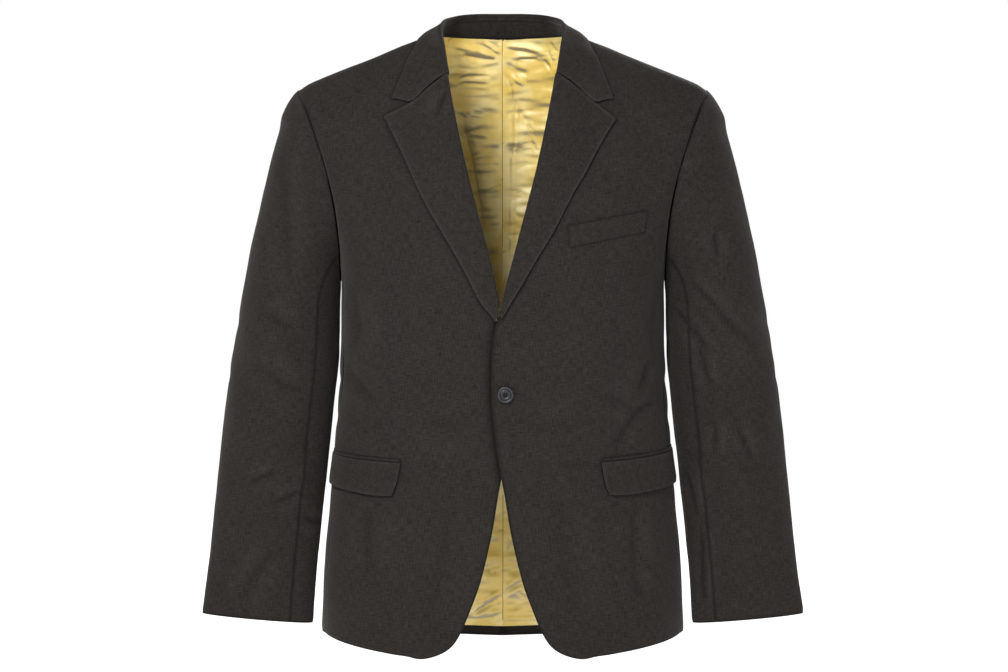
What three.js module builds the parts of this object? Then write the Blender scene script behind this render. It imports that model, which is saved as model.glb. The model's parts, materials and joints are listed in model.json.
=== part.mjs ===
// Single-button suit jacket with notch lapels, filled out as if worn, with nobody in it. Millimetres, +Z
// up, the front faces -Y and the wearer's left is +X. The origin is the middle of the neck opening, level
// with the inner ends of the shoulder seams.
import * as THREE from 'three';
import { mergeVertices } from 'three/addons/utils/BufferGeometryUtils.js';

// Driving sizes
const armpitLevel = -296;
const bodyWall = 2;
const sleeveWall = 2;
const liningWall = 1;
const lapelWall = 2.2;
const flapWall = 2;
const seamGap = 0.4;
const layerGap = 0.7;
const closingLine = -1.5; // x of the line where the two fronts meet
const sideSquareness = 0.8; // under 1, a ring is squarer than an ellipse
const shoulderRoundness = 0.75;
const shoulderSpread = 1.6;

// Level rings round the body: half width at the side, and how far front and back stand from the middle.
const bodyRings = [
  { level: -760, side: 223, front: 131, back: 129 },
  { level: -712, side: 220, front: 130, back: 127 },
  { level: -649, side: 217.5, front: 128, back: 123 },
  { level: -550, side: 209, front: 126, back: 112 },
  { level: -490, side: 204, front: 125, back: 103 },
  { level: -415, side: 198.6, front: 127, back: 97 },
  { level: -350, side: 196.4, front: 131, back: 104 },
  { level: -296, side: 196.4, front: 133, back: 113 },
  { level: -200, side: 199, front: 133, back: 124 },
  { level: -100, side: 200, front: 126, back: 122 },
  { level: 30, side: 200, front: 108, back: 112 },
];

// Where the surface ends at the top, by the angle from the middle of the front: neck, shoulder seam, nape.
const topLine = [
  { angle: -1, x: -3, y: -68, z: -54 },
  { angle: 0, x: 0, y: -68, z: -54 },
  { angle: 14, x: 42, y: -54, z: -38 },
  { angle: 24, x: 69, y: -20, z: -4 },
  { angle: 30, x: 84, y: 8, z: 5 },
  { angle: 48, x: 168, y: 8, z: -24 },
  { angle: 66, x: 251, y: 8, z: -57 },
  { angle: 114, x: 251, y: 8, z: -57 },
  { angle: 132, x: 168, y: 8, z: -24 },
  { angle: 150, x: 84, y: 8, z: 5 },
  { angle: 158, x: 74, y: 46, z: 12 },
  { angle: 168, x: 46, y: 84, z: 14 },
  { angle: 180, x: 0, y: 97, z: 14 },
];

// The front half of an armhole, from the shoulder tip round to the armpit. The back half mirrors it.
const armholeStations = [
  { turn: 0, angle: 66, level: -57 },
  { turn: 20, angle: 66, level: -76 },
  { turn: 40, angle: 66, level: -107 },
  { turn: 60, angle: 66.4, level: -146 },
  { turn: 80, angle: 68.5, level: -186 },
  { turn: 100, angle: 72, level: -222 },
  { turn: 120, angle: 77, level: -252 },
  { turn: 140, angle: 82, level: -276 },
  { turn: 160, angle: 86, level: -291 },
  { turn: 180, angle: 90, level: -296 },
];

// The largest folds pressed into the body: from and to as seen from the front, half width and depth.
const frontFolds = [
  { fromX: 129, fromZ: -487, toX: 187, toZ: -432, reach: 9, depth: 4 },
  { fromX: 162, fromZ: -430, toX: 178, toZ: -386, reach: 10, depth: 3 },
  { fromX: 156, fromZ: -560, toX: 158, toZ: -636, reach: 11, depth: 3 },
  { fromX: -150, fromZ: -440, toX: -186, toZ: -400, reach: 10, depth: 2.5 },
  { fromX: -158, fromZ: -566, toX: -160, toZ: -640, reach: 12, depth: 2 },
];

function readTable(rows, key, name, at) {
  // Smooth reading between the rows of a table, without overshoot.
  const last = rows.length - 1;
  const here = Math.min(Math.max(at, rows[0][key]), rows[last][key]);
  let i = 0;
  while (i < last - 1 && rows[i + 1][key] < here) i += 1;
  const slope = (j) => (rows[j + 1][name] - rows[j][name]) / (rows[j + 1][key] - rows[j][key]);
  const tangent = (j) => {
    if (j === 0) return slope(0);
    if (j === last) return slope(last - 1);
    const before = slope(j - 1);
    const after = slope(j);
    return before * after <= 0 ? 0 : (2 * before * after) / (before + after);
  };
  const width = rows[i + 1][key] - rows[i][key];
  const t = (here - rows[i][key]) / width;
  const t2 = t * t;
  const t3 = t2 * t;
  return (2 * t3 - 3 * t2 + 1) * rows[i][name] + (t3 - 2 * t2 + t) * width * tangent(i)
    + (3 * t2 - 2 * t3) * rows[i + 1][name] + (t3 - t2) * width * tangent(i + 1);
}

function readRow(rows, at, ...names) {
  // Smooth reading by row number, for sections that are counted and not measured.
  const counted = rows.map((row, index) => ({ ...row, index }));
  return names.map((name) => readTable(counted, 'index', name, at));
}

const mix = THREE.MathUtils.lerp;
const smooth = THREE.MathUtils.smoothstep;
const radians = THREE.MathUtils.degToRad;
const bent = (value, power) => Math.sign(value) * Math.abs(value) ** power;

// The body's surface. angle runs from the middle of the front to the back, negative on the wearer's right.
// rise is 0 at armpit level, 1 at the top line and below 0 under the armpits, in units of liftUnit.
const liftUnit = 100;

function levelOf(angle, rise) {
  if (rise <= 0) return armpitLevel + rise * liftUnit;
  const top = readTable(topLine, 'angle', 'z', Math.abs(angle));
  return armpitLevel + (top - armpitLevel) * Math.sin((rise * Math.PI) / 2) ** 0.9;
}

function plainBody(turned, rise, seamShift = 0) {
  const angle = Math.abs(turned) > 180 ? turned - 360 * Math.sign(turned) : turned;
  const round = Math.abs(angle);
  const hand = Math.sign(angle) || 1;
  const z = levelOf(angle, rise);
  const side = readTable(bodyRings, 'level', 'side', z);
  const depth = readTable(bodyRings, 'level', round < 90 ? 'front' : 'back', z);
  let x = side * bent(Math.sin(radians(round)), sideSquareness);
  let y = -depth * bent(Math.cos(radians(round)), sideSquareness);
  if (rise > 0) {
    const top = readTable(topLine, 'angle', 'z', round);
    const share = (z - armpitLevel) / (top - armpitLevel);
    const topY = readTable(topLine, 'angle', 'y', round) + seamShift;
    x = mix(x, readTable(topLine, 'angle', 'x', round), share ** shoulderSpread);
    y = mix(topY, y, Math.max(Math.cos((rise * Math.PI) / 2), 0) ** shoulderRoundness);
  }
  return new THREE.Vector3(x * hand, y, z);
}

function bodyNormal(angle, rise) {
  const step = 0.4;
  const lift = 0.01;
  const high = Math.min(rise + lift, 1);
  const low = Math.min(rise, 1) - lift;
  const level = Math.min(rise, 1 - lift / 2); // the shoulder seam itself has no width across
  const across = plainBody(angle + step, level).sub(plainBody(angle - step, level));
  const up = plainBody(angle, high).sub(plainBody(angle, low));
  return across.cross(up).normalize();
}

function foldDepth(folds, x, z) {
  let depth = 0;
  for (const fold of folds) {
    const alongX = fold.toX - fold.fromX;
    const alongZ = fold.toZ - fold.fromZ;
    const squared = alongX * alongX + alongZ * alongZ;
    const share = ((x - fold.fromX) * alongX + (z - fold.fromZ) * alongZ) / squared;
    const near = Math.min(Math.max(share, 0), 1);
    const off = Math.hypot(x - fold.fromX - near * alongX, z - fold.fromZ - near * alongZ);
    depth += fold.depth * Math.exp(-((off / fold.reach) ** 2));
  }
  return depth;
}

function bodyPoint(angle, rise, out = 0, seamShift = 0) {
  // A point that stands out from the surface by a distance, with the folds pressed in on the front.
  const point = plainBody(angle, rise, seamShift);
  const inward = Math.abs(angle) < 100 ? foldDepth(frontFolds, point.x, point.z) : 0;
  return point.addScaledVector(bodyNormal(angle, rise), out - inward);
}

function riseAt(angle, level) {
  if (level <= armpitLevel) return (level - armpitLevel) / liftUnit;
  let low = 0;
  let high = 1;
  for (let i = 0; i < 40; i += 1) {
    const middle = (low + high) / 2;
    if (levelOf(angle, middle) < level) low = middle;
    else high = middle;
  }
  return (low + high) / 2;
}

function seenFromFront(x, z) {
  // The place on the front of the body that shows at x and z from the front.
  let low = 0;
  let high = 90;
  for (let i = 0; i < 40; i += 1) {
    const middle = (low + high) / 2;
    const there = plainBody(middle, riseAt(middle, z));
    if (there.x < Math.abs(x)) low = middle;
    else high = middle;
  }
  const angle = (low + high) / 2;
  return { angle: angle * (Math.sign(x) || 1), rise: riseAt(angle, z) };
}

function blendPlaces(a, b, t) {
  return { angle: mix(a.angle, b.angle, t), rise: mix(a.rise, b.rise, t) };
}

function closedWall(outer, inner) {
  // A closed sheet from two grids of points, outer seen from outside with rows going up and columns to the
  // left.
  const rows = outer.length;
  const columns = outer[0].length;
  const positions = [];
  for (const grid of [outer, inner]) {
    for (const row of grid) {
      for (const point of row) positions.push(point.x, point.y, point.z);
    }
  }
  const at = (layer, row, column) => layer * rows * columns + row * columns + column;
  const faces = [];
  const quad = (a, b, c, d) => faces.push(a, b, c, a, c, d);
  for (let r = 0; r < rows - 1; r += 1) {
    for (let c = 0; c < columns - 1; c += 1) {
      quad(at(0, r, c), at(0, r, c + 1), at(0, r + 1, c + 1), at(0, r + 1, c));
      quad(at(1, r, c), at(1, r + 1, c), at(1, r + 1, c + 1), at(1, r, c + 1));
    }
  }
  for (let c = 0; c < columns - 1; c += 1) {
    quad(at(0, 0, c), at(1, 0, c), at(1, 0, c + 1), at(0, 0, c + 1));
    quad(at(0, rows - 1, c), at(0, rows - 1, c + 1), at(1, rows - 1, c + 1), at(1, rows - 1, c));
  }
  for (let r = 0; r < rows - 1; r += 1) {
    quad(at(0, r, 0), at(0, r + 1, 0), at(1, r + 1, 0), at(1, r, 0));
    const end = columns - 1;
    quad(at(0, r, end), at(1, r, end), at(1, r + 1, end), at(0, r + 1, end));
  }
  const geometry = new THREE.BufferGeometry();
  geometry.setAttribute('position', new THREE.Float32BufferAttribute(positions, 3));
  geometry.setIndex(faces);
  return geometry;
}

function faceOut(geometry) {
  // Turns the faces round where a mirrored grid has made the volume negative.
  const position = geometry.getAttribute('position');
  const index = geometry.getIndex().array;
  const corner = (i) => new THREE.Vector3().fromBufferAttribute(position, index[i]);
  let volume = 0;
  for (let i = 0; i < index.length; i += 3) volume += corner(i).dot(corner(i + 1).cross(corner(i + 2)));
  if (volume < 0) {
    const turned = [];
    for (let i = 0; i < index.length; i += 3) turned.push(index[i], index[i + 2], index[i + 1]);
    geometry.setIndex(turned);
  }
  geometry.computeVertexNormals();
  return geometry;
}

function panel(places, thickness, out = () => 0, seamShift = 0) {
  // A wall on the body's surface, from a grid of places on it. out gives how far its outer side stands off.
  const lay = (inset) => places.map((row) => row.map((place) => {
    const flat = plainBody(place.angle, place.rise);
    return bodyPoint(place.angle, place.rise, out(flat, place) - inset, seamShift);
  }));
  return faceOut(closedWall(lay(0), lay(thickness)));
}

function grid(rowCount, columnCount, place) {
  const rows = [];
  for (let r = 0; r <= rowCount; r += 1) {
    const row = [];
    for (let c = 0; c <= columnCount; c += 1) row.push(place(r / rowCount, c / columnCount));
    rows.push(row);
  }
  return rows;
}

// Armhole, as a place on the body for a turn from 0 at the shoulder tip, 90 at the front, 180 at the
// armpit.
function armholePlace(turn, hand) {
  const folded = turn <= 180 ? turn : 360 - turn;
  const frontAngle = readTable(armholeStations, 'turn', 'angle', folded);
  const level = readTable(armholeStations, 'turn', 'level', folded);
  const angle = turn <= 180 ? frontAngle : 180 - frontAngle;
  return { angle: angle * hand, rise: riseAt(angle, level) };
}

// The two seams of a side body meet the armhole at these turns.
const frontSeamTurn = 122;
const backSeamTurn = 258;

function levelAtTurn(turn) {
  const place = armholePlace(turn, 1);
  return levelOf(place.angle, place.rise);
}

// Fronts: a section for each row from the hem up. edge is the distance from the closing line, edgeLevel its
// height, sideLevel the height at the side seam. From the armhole row up a section ends at the armhole, by
// turn.
const frontSections = [
  { edge: 92, edgeLevel: -740, sideLevel: -717, turn: 122 },
  { edge: 66, edgeLevel: -731, sideLevel: -708, turn: 122 },
  { edge: 48, edgeLevel: -709, sideLevel: -696, turn: 122 },
  { edge: 33, edgeLevel: -673, sideLevel: -668, turn: 122 },
  { edge: 23, edgeLevel: -643, sideLevel: -640, turn: 122 },
  { edge: 11, edgeLevel: -591, sideLevel: -590, turn: 122 },
  { edge: 4.5, edgeLevel: -551, sideLevel: -550, turn: 122 },
  { edge: -2, edgeLevel: -517, sideLevel: -517, turn: 122 },
  { edge: -8, edgeLevel: -475, sideLevel: -480, turn: 122 },
  { edge: -12, edgeLevel: -430, sideLevel: -440, turn: 122 },
  { edge: -11.5, edgeLevel: -388, sideLevel: -400, turn: 122 },
  { edge: -6, underEdge: 5, edgeLevel: -346, sideLevel: -362, turn: 122 },
  { edge: 9, edgeLevel: -310, sideLevel: -325, turn: 122 },
  { edge: 16.8, edgeLevel: -275, sideLevel: -290, turn: 122 },
  { edge: 27, edgeLevel: -236, sideLevel: -254, turn: 122 },
  { edge: 37, edgeLevel: -198, sideLevel: -257, turn: 98 },
  { edge: 46.5, edgeLevel: -158, sideLevel: -257, turn: 79 },
  { edge: 55, edgeLevel: -118, sideLevel: -257, turn: 61 },
  { edge: 63.5, edgeLevel: -77, sideLevel: -257, turn: 44 },
  { edge: 69, edgeLevel: -47, sideLevel: -257, turn: 29 },
];
const frontSeamAngle = [
  { level: -760, angle: 75 },
  { level: -500, angle: 76 },
  { level: -300, angle: 77.2 },
  { level: levelAtTurn(frontSeamTurn), angle: armholePlace(frontSeamTurn, 1).angle },
];
const armholeRow = 14;
const seamAngle = 0.07;
const backSeamGap = 0.13;
const neckRows = [
  { angle: 29, rise: 0.82, turn: 16 },
  { angle: 29.5, rise: 0.93, turn: 7 },
  { angle: 30.5, rise: 1, turn: 0 },
];

function overlapLift(hand, x, z) {
  // The wearer's left front lies over the right one, and comes back to the body away from the closing line.
  const near = 1 - smooth(x, 14, 46);
  const between = smooth(z, -640, -520) * (1 - smooth(z, -300, -230));
  return hand > 0 ? 3.1 * near * between : 0;
}

function frontGrid(hand) {
  const rows = [];
  const columns = 12;
  const sectionCount = frontSections.length - 1;
  for (let r = 0; r <= sectionCount + neckRows.length; r += 1) {
    let start;
    let end;
    if (r <= sectionCount) {
      const section = frontSections[r];
      const edge = hand > 0 ? section.edge : section.underEdge ?? section.edge;
      start = seenFromFront(closingLine + hand * edge, section.edgeLevel);
      const seam = readTable(frontSeamAngle, 'level', 'angle', section.sideLevel) - seamAngle;
      end = r < armholeRow
        ? { angle: seam * hand, rise: riseAt(seam, section.sideLevel) }
        : armholePlace(section.turn, hand);
    } else {
      const neck = neckRows[r - sectionCount - 1];
      start = { angle: neck.angle * hand, rise: neck.rise };
      end = armholePlace(neck.turn, hand);
    }
    const row = [];
    for (let c = 0; c <= columns; c += 1) row.push(blendPlaces(start, end, c / columns));
    rows.push(row);
  }
  return rows;
}

function frontPanel(hand) {
  return panel(frontGrid(hand), bodyWall, (point) => overlapLift(hand, point.x, point.z), -seamGap / 2);
}

// Side body: from the front seam to the back seam, hem to armhole.
const backSeamAngle = [
  { level: -760, angle: 116 },
  { level: -500, angle: 112 },
  { level: -300, angle: 108.5 },
  { level: levelAtTurn(backSeamTurn), angle: armholePlace(backSeamTurn, 1).angle },
];
const hemLevel = { side: -717, back: -738 };

function hemAt(angle) {
  return mix(hemLevel.side, hemLevel.back, smooth(Math.abs(angle), 76, 175));
}

function sidePanel(hand) {
  const places = grid(14, 3, (up, across) => {
    const turn = mix(frontSeamTurn, backSeamTurn, across);
    const top = armholePlace(turn, hand);
    const topLevel = levelOf(top.angle, top.rise);
    const hemAngle = mix(75, 116, across);
    const level = mix(hemAt(hemAngle), topLevel, up);
    const front = readTable(frontSeamAngle, 'level', 'angle', level) + seamAngle;
    const back = readTable(backSeamAngle, 'level', 'angle', level) - backSeamGap;
    const seamwise = mix(front, back, across);
    const inside = smooth(up, 0.8, 1) * Math.sin(Math.PI * across);
    const angle = mix(seamwise, Math.abs(top.angle), inside);
    return { angle: angle * hand, rise: riseAt(angle, level) };
  });
  return panel(places, bodyWall);
}

// Back: from the side seam to the centre back seam, hem to neck and shoulder seam.
const backSections = [
  { sideLevel: -725, centreLevel: -738, turn: 258 },
  { sideLevel: -690, centreLevel: -700, turn: 258 },
  { sideLevel: -650, centreLevel: -655, turn: 258 },
  { sideLevel: -600, centreLevel: -605, turn: 258 },
  { sideLevel: -550, centreLevel: -555, turn: 258 },
  { sideLevel: -500, centreLevel: -505, turn: 258 },
  { sideLevel: -450, centreLevel: -455, turn: 258 },
  { sideLevel: -405, centreLevel: -410, turn: 258 },
  { sideLevel: -360, centreLevel: -365, turn: 258 },
  { sideLevel: -315, centreLevel: -320, turn: 258 },
  { sideLevel: -270, centreLevel: -275, turn: 258 },
  { sideLevel: -227, centreLevel: -235, turn: 258 },
  { sideLevel: -227, centreLevel: -195, turn: 277 },
  { sideLevel: -227, centreLevel: -155, turn: 295 },
  { sideLevel: -227, centreLevel: -112, turn: 312 },
  { sideLevel: -227, centreLevel: -72, turn: 328 },
  { sideLevel: -227, centreLevel: -38, turn: 341 },
  { sideLevel: -227, centreLevel: -10, turn: 352 },
];
const backArmholeRow = 11;
const shoulderSeamAngle = 114;

function backPlaces(hand, columns, centreGap, hemRaise = 0) {
  const rows = backSections.map((section, r) => {
    const raise = r === 0 ? hemRaise : 0;
    const seam = readTable(backSeamAngle, 'level', 'angle', section.sideLevel) + backSeamGap;
    const start = r < backArmholeRow
      ? { angle: seam * hand, rise: riseAt(seam, section.sideLevel + raise) }
      : armholePlace(section.turn, hand);
    const centre = 180 - centreGap;
    const end = { angle: centre * hand, rise: riseAt(centre, section.centreLevel + raise) };
    const row = [];
    for (let c = 0; c <= columns; c += 1) row.push(blendPlaces(start, end, c / columns));
    return row;
  });
  const top = [];
  for (let c = 0; c <= columns; c += 1) {
    top.push({ angle: mix(shoulderSeamAngle, 180 - centreGap, c / columns) * hand, rise: 1 });
  }
  rows.push(top);
  return rows;
}

function backPanel(hand) {
  return panel(backPlaces(hand, 9, 0.08), bodyWall, () => 0, seamGap / 2);
}

// Sleeve tubes: outline from the front and from the side, by level.
const sleeveOuter = [
  { level: -694, x: 361 },
  { level: -636, x: 353.5 },
  { level: -590, x: 349 },
  { level: -534, x: 344 },
  { level: -477, x: 338.5 },
  { level: -421, x: 332 },
  { level: -365, x: 323.5 },
  { level: -309, x: 315 },
  { level: -254, x: 305 },
  { level: -190, x: 291.5 },
  { level: -143, x: 281.5 },
  { level: -97, x: 271.5 },
  { level: -80, x: 267 },
  { level: -68, x: 262.5 },
  { level: -60, x: 257 },
  { level: -57, x: 251.5 },
];
const sleeveInner = [
  { level: -705, x: 230.5 },
  { level: -670, x: 228.5 },
  { level: -612, x: 224 },
  { level: -556, x: 218.5 },
  { level: -511, x: 214.2 },
  { level: -460, x: 209 },
  { level: -421, x: 204.6 },
  { level: -387, x: 201.4 },
  { level: -340, x: 200.6 },
  { level: -296, x: 200 },
  { level: -57, x: 200 },
];
const sleeveSide = [
  { level: -705, middle: -38, half: 21 },
  { level: -640, middle: -31, half: 31 },
  { level: -560, middle: -22, half: 42 },
  { level: -480, middle: -14, half: 51 },
  { level: -400, middle: -8, half: 58 },
  { level: -300, middle: -2, half: 65 },
  { level: -200, middle: 1, half: 66 },
  { level: -120, middle: 5, half: 60 },
  { level: -57, middle: 8, half: 56 },
];
const sleeveFolds = [
  { fromTurn: 78, fromDown: 0.385, toTurn: 62, toDown: 0.47, reach: 10, depth: 4 },
  { fromTurn: 100, fromDown: 0.36, toTurn: 42, toDown: 0.44, reach: 11, depth: 4 },
  { fromTurn: 60, fromDown: 0.57, toTurn: 35, toDown: 0.62, reach: 10, depth: 3 },
  { fromTurn: 140, fromDown: 0.62, toTurn: 95, toDown: 0.55, reach: 10, depth: 3 },
  { fromTurn: 120, fromDown: 0.72, toTurn: 105, toDown: 0.78, reach: 10, depth: 2.5 },
  { fromTurn: 250, fromDown: 0.45, toTurn: 300, toDown: 0.5, reach: 11, depth: 3 },
  { fromTurn: 245, fromDown: 0.6, toTurn: 290, toDown: 0.56, reach: 11, depth: 3 },
];
const sleeveTop = { outer: -57, inner: -296 };
const sleeveCuff = { outer: -694, inner: -705 };
const cuffBackDrop = 5;

function sleeveTube(turn, down) {
  const outerShare = (1 + Math.cos(radians(turn))) / 2;
  const outerLevel = mix(sleeveTop.outer, sleeveCuff.outer, down);
  const innerLevel = mix(sleeveTop.inner, sleeveCuff.inner, down);
  const level = mix(innerLevel, outerLevel, outerShare);
  const outer = readTable(sleeveOuter, 'level', 'x', level);
  const inner = readTable(sleeveInner, 'level', 'x', level);
  const middle = readTable(sleeveSide, 'level', 'middle', level);
  const half = readTable(sleeveSide, 'level', 'half', level);
  const x = (outer + inner) / 2 + ((outer - inner) / 2) * Math.cos(radians(turn));
  const y = middle - half * Math.sin(radians(turn));
  const drop = cuffBackDrop * down ** 3 * Math.max(-Math.sin(radians(turn)), 0);
  return new THREE.Vector3(x, y, level - drop);
}

function plainSleeve(turn, down) {
  // The tube, drawn in to the armhole near its top.
  const wrapped = ((turn % 360) + 360) % 360;
  const point = sleeveTube(wrapped, down);
  const under = (1 - Math.cos(radians(wrapped))) / 2;
  const hold = Math.max(1 - down / mix(0.36, 0.07, under ** 2), 0) ** 2;
  if (hold > 0) {
    const place = armholePlace(wrapped, 1);
    const normal = bodyNormal(place.angle, place.rise);
    const ring = plainBody(place.angle, place.rise).addScaledVector(normal, 0.5);
    ring.x += mix(0.4, 2.4, under);
    point.addScaledVector(ring.sub(sleeveTube(wrapped, 0)), hold);
  }
  return point;
}

// Mean sizes that lay the sleeve's folds out, and the ridge where its head is set in, by share of length.
const sleeveFlat = { radius: 62, length: 600 };
const sleeveRope = { height: 4, middle: 0.012, reach: 0.012 };

function sleevePoint(hand, turn, down, inset) {
  const step = 1.5;
  const stretch = 0.004;
  const round = plainSleeve(turn + step, down).sub(plainSleeve(turn - step, down));
  const below = plainSleeve(turn, Math.min(down + stretch, 1));
  const along = below.sub(plainSleeve(turn, Math.max(down - stretch, 0)));
  const normal = along.cross(round).normalize();
  const point = plainSleeve(turn, down);
  const flat = (t, d) => ({ x: radians(t) * sleeveFlat.radius, z: d * sleeveFlat.length });
  const folds = sleeveFolds.map((fold) => {
    const from = flat(fold.fromTurn, fold.fromDown);
    const to = flat(fold.toTurn, fold.toDown);
    return { fromX: from.x, fromZ: from.z, toX: to.x, toZ: to.z, reach: fold.reach, depth: fold.depth };
  });
  const here = flat(turn, down);
  const ropeShare = Math.exp(-(((down - sleeveRope.middle) / sleeveRope.reach) ** 2));
  const rope = sleeveRope.height * ropeShare * Math.max(Math.cos(radians(turn)), 0) ** 2;
  point.addScaledVector(normal, rope - inset - foldDepth(folds, here.x, here.z));
  point.x *= hand;
  return point;
}

const sleeveSeams = { front: 128, back: 250, gap: 0.2, upperColumns: 9, underColumns: 5 };

function sleevePiece(hand, fromTurn, toTurn, columns) {
  const rows = 20;
  const spread = 1.4;
  const lay = (inset) => grid(rows, columns, (up, across) => {
    const down = (1 - up) ** spread;
    return sleevePoint(hand, mix(fromTurn, toTurn, across), down, inset);
  });
  return faceOut(closedWall(lay(0), lay(sleeveWall)));
}

// Lapels: rows from the break point up. roll and edge are distances from the closing line.
const lapelLeft = [
  { roll: -3, rollLevel: -335, edge: 1, edgeLevel: -338.5 },
  { roll: 0.4, rollLevel: -321, edge: 7.5, edgeLevel: -327 },
  { roll: 5.5, rollLevel: -300, edge: 23, edgeLevel: -301.5 },
  { roll: 12.5, rollLevel: -273, edge: 37, edgeLevel: -277 },
  { roll: 25.5, rollLevel: -223, edge: 60.5, edgeLevel: -238 },
  { roll: 38, rollLevel: -175, edge: 84.5, edgeLevel: -191 },
  { roll: 47.5, rollLevel: -133, edge: 99, edgeLevel: -166 },
  { roll: 54.5, rollLevel: -98, edge: 114, edgeLevel: -137.6 },
  { roll: 60, rollLevel: -70, edge: 125, edgeLevel: -118.5 },
  { roll: 63.8, rollLevel: -48, edge: 134.8, edgeLevel: -103 },
];
const lapelRight = [
  { roll: 2.2, rollLevel: -320, edge: 7, edgeLevel: -342 },
  { roll: 6, rollLevel: -302, edge: 25, edgeLevel: -319.5 },
  { roll: 12.5, rollLevel: -273, edge: 40, edgeLevel: -290 },
  { roll: 25.5, rollLevel: -223, edge: 63, edgeLevel: -249 },
  { roll: 37.5, rollLevel: -175, edge: 88.5, edgeLevel: -205 },
  { roll: 47.5, rollLevel: -133, edge: 106, edgeLevel: -168 },
  { roll: 54.5, rollLevel: -98, edge: 119, edgeLevel: -139 },
  { roll: 60, rollLevel: -70, edge: 129.5, edgeLevel: -118 },
  { roll: 63.2, rollLevel: -49, edge: 138.1, edgeLevel: -99.4 },
];

// Section across a rolled edge: distance from the fold, and how far outer and inner side stand off the
// body. lowOuter and lowInner are the same where the lapel runs out to its lower tip.
const rolledEdge = [
  { across: 3.7, outer: -2.3, inner: -0.2, innerAcross: 3.7, lowOuter: 0.6, lowInner: 1.3 },
  { across: 1.2, outer: -1.7, inner: 0.2, innerAcross: 2.6, lowOuter: 0.7, lowInner: 1.4 },
  { across: 0, outer: 0.6, inner: 0.7, innerAcross: 2.2, lowOuter: 1.6, lowInner: 1.6 },
  { across: 1.2, outer: 3.1, inner: 1.1, innerAcross: 2.8, lowOuter: 2.6, lowInner: 1.8 },
  { across: 4.2, outer: 4.2, inner: 1.9, innerAcross: 4.6, lowOuter: 3.1, lowInner: 1.9 },
];
const fullWidth = 17; // a lapel narrower than this has a smaller rolled edge
const lapelSpread = [0.16, 0.32, 0.5, 0.68, 0.85, 1];
const gorgeShare = 0.58; // where the collar's end meets the lapel, across its top edge
const rightGorgeDip = 6.5;
const lapelBelly = { height: 2.6, fromWidth: 18, fullWidth: 45, topLoss: 0.6, lossFrom: 0.3 };

function lapelPiece(hand) {
  const table = hand > 0 ? lapelLeft : lapelRight;
  const rowCount = 16;
  const outer = [];
  const inner = [];
  for (let r = 0; r <= rowCount; r += 1) {
    const at = (r / rowCount) * (table.length - 1);
    const [roll, rollLevel, edge, edgeLevel] = readRow(table, at, 'roll', 'rollLevel', 'edge', 'edgeLevel');
    const width = Math.hypot(edge - roll, edgeLevel - rollLevel);
    const narrow = Math.min(1, width / fullWidth);
    const flatter = lapelBelly.topLoss * smooth(r / rowCount, lapelBelly.lossFrom, 1);
    const grown = smooth(width, lapelBelly.fromWidth, lapelBelly.fullWidth);
    const belly = lapelBelly.height * grown * (1 - flatter);
    const gorge = hand > 0 ? 0 : rightGorgeDip * smooth(r / rowCount, 0.82, 1);
    const put = (across, off) => {
      const share = across / width;
      const peak = share < gorgeShare ? share / gorgeShare : (1 - share) / (1 - gorgeShare);
      const x = closingLine + hand * mix(roll, edge, share);
      const z = mix(rollLevel, edgeLevel, share) - gorge * peak;
      const place = seenFromFront(x, z);
      return bodyPoint(place.angle, place.rise, off + overlapLift(hand, x, z));
    };
    const outerRow = rolledEdge.map((point) => put(
      point.across * narrow, mix(point.lowOuter, point.outer, narrow)));
    const innerRow = rolledEdge.map((point) => put(
      point.innerAcross * narrow, mix(point.lowInner, point.inner, narrow)));
    for (const share of lapelSpread) {
      const across = mix(4.2 * narrow, width, share);
      const swell = belly * Math.sin(Math.PI * Math.min(share + 0.1, 1)) + 1.1 * (1 - share);
      const off = layerGap + lapelWall + swell;
      outerRow.push(put(across, off));
      innerRow.push(put(across, off - lapelWall));
    }
    outer.push(outerRow);
    inner.push(innerRow);
  }
  return faceOut(closedWall(outer, inner));
}

// Collar: sections from the end at the notch round to the middle of the back. fold is the crest of the
// folded edge, angle and rise the place on the body where the fall ends. upright is 0 where the folded edge
// lies flat and 1 where it stands, lie is 1 where the fall lies on the front.
const collarSections = [
  { foldX: 63.6, foldY: -81.4, foldZ: -46.4, angle: 39.3, rise: 0.519, upright: 0, lie: 1 },
  { foldX: 65.6, foldY: -72.5, foldZ: -36, angle: 38.4, rise: 0.565, upright: 0, lie: 1 },
  { foldX: 67.5, foldY: -61, foldZ: -24, angle: 37.4, rise: 0.625, upright: 0.15, lie: 0.5 },
  { foldX: 70, foldY: -44, foldZ: -9, angle: 36.6, rise: 0.7, upright: 0.35, lie: 0 },
  { foldX: 72.5, foldY: -25, foldZ: 3, angle: 35.5, rise: 0.78, upright: 0.6, lie: 0 },
  { foldX: 74, foldY: -6, foldZ: 14, angle: 34.8, rise: 0.88, upright: 0.8, lie: 0 },
  { foldX: 73.5, foldY: 12, foldZ: 23, angle: 34.3, rise: 1, upright: 1, lie: 0 },
  { foldX: 71, foldY: 32, foldZ: 29, angle: 146, rise: 0.92, upright: 1, lie: 0 },
  { foldX: 66.5, foldY: 52, foldZ: 33.5, angle: 149, rise: 0.86, upright: 1, lie: 0 },
  { foldX: 60, foldY: 71, foldZ: 37.5, angle: 154, rise: 0.82, upright: 1, lie: 0 },
  { foldX: 49, foldY: 85, foldZ: 41, angle: 160.5, rise: 0.79, upright: 1, lie: 0 },
  { foldX: 27, foldY: 94, foldZ: 43.2, angle: 169.5, rise: 0.775, upright: 1, lie: 0 },
  { foldX: 0, foldY: 96, foldZ: 43.5, angle: 180, rise: 0.77, upright: 1, lie: 0 },
];
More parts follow.
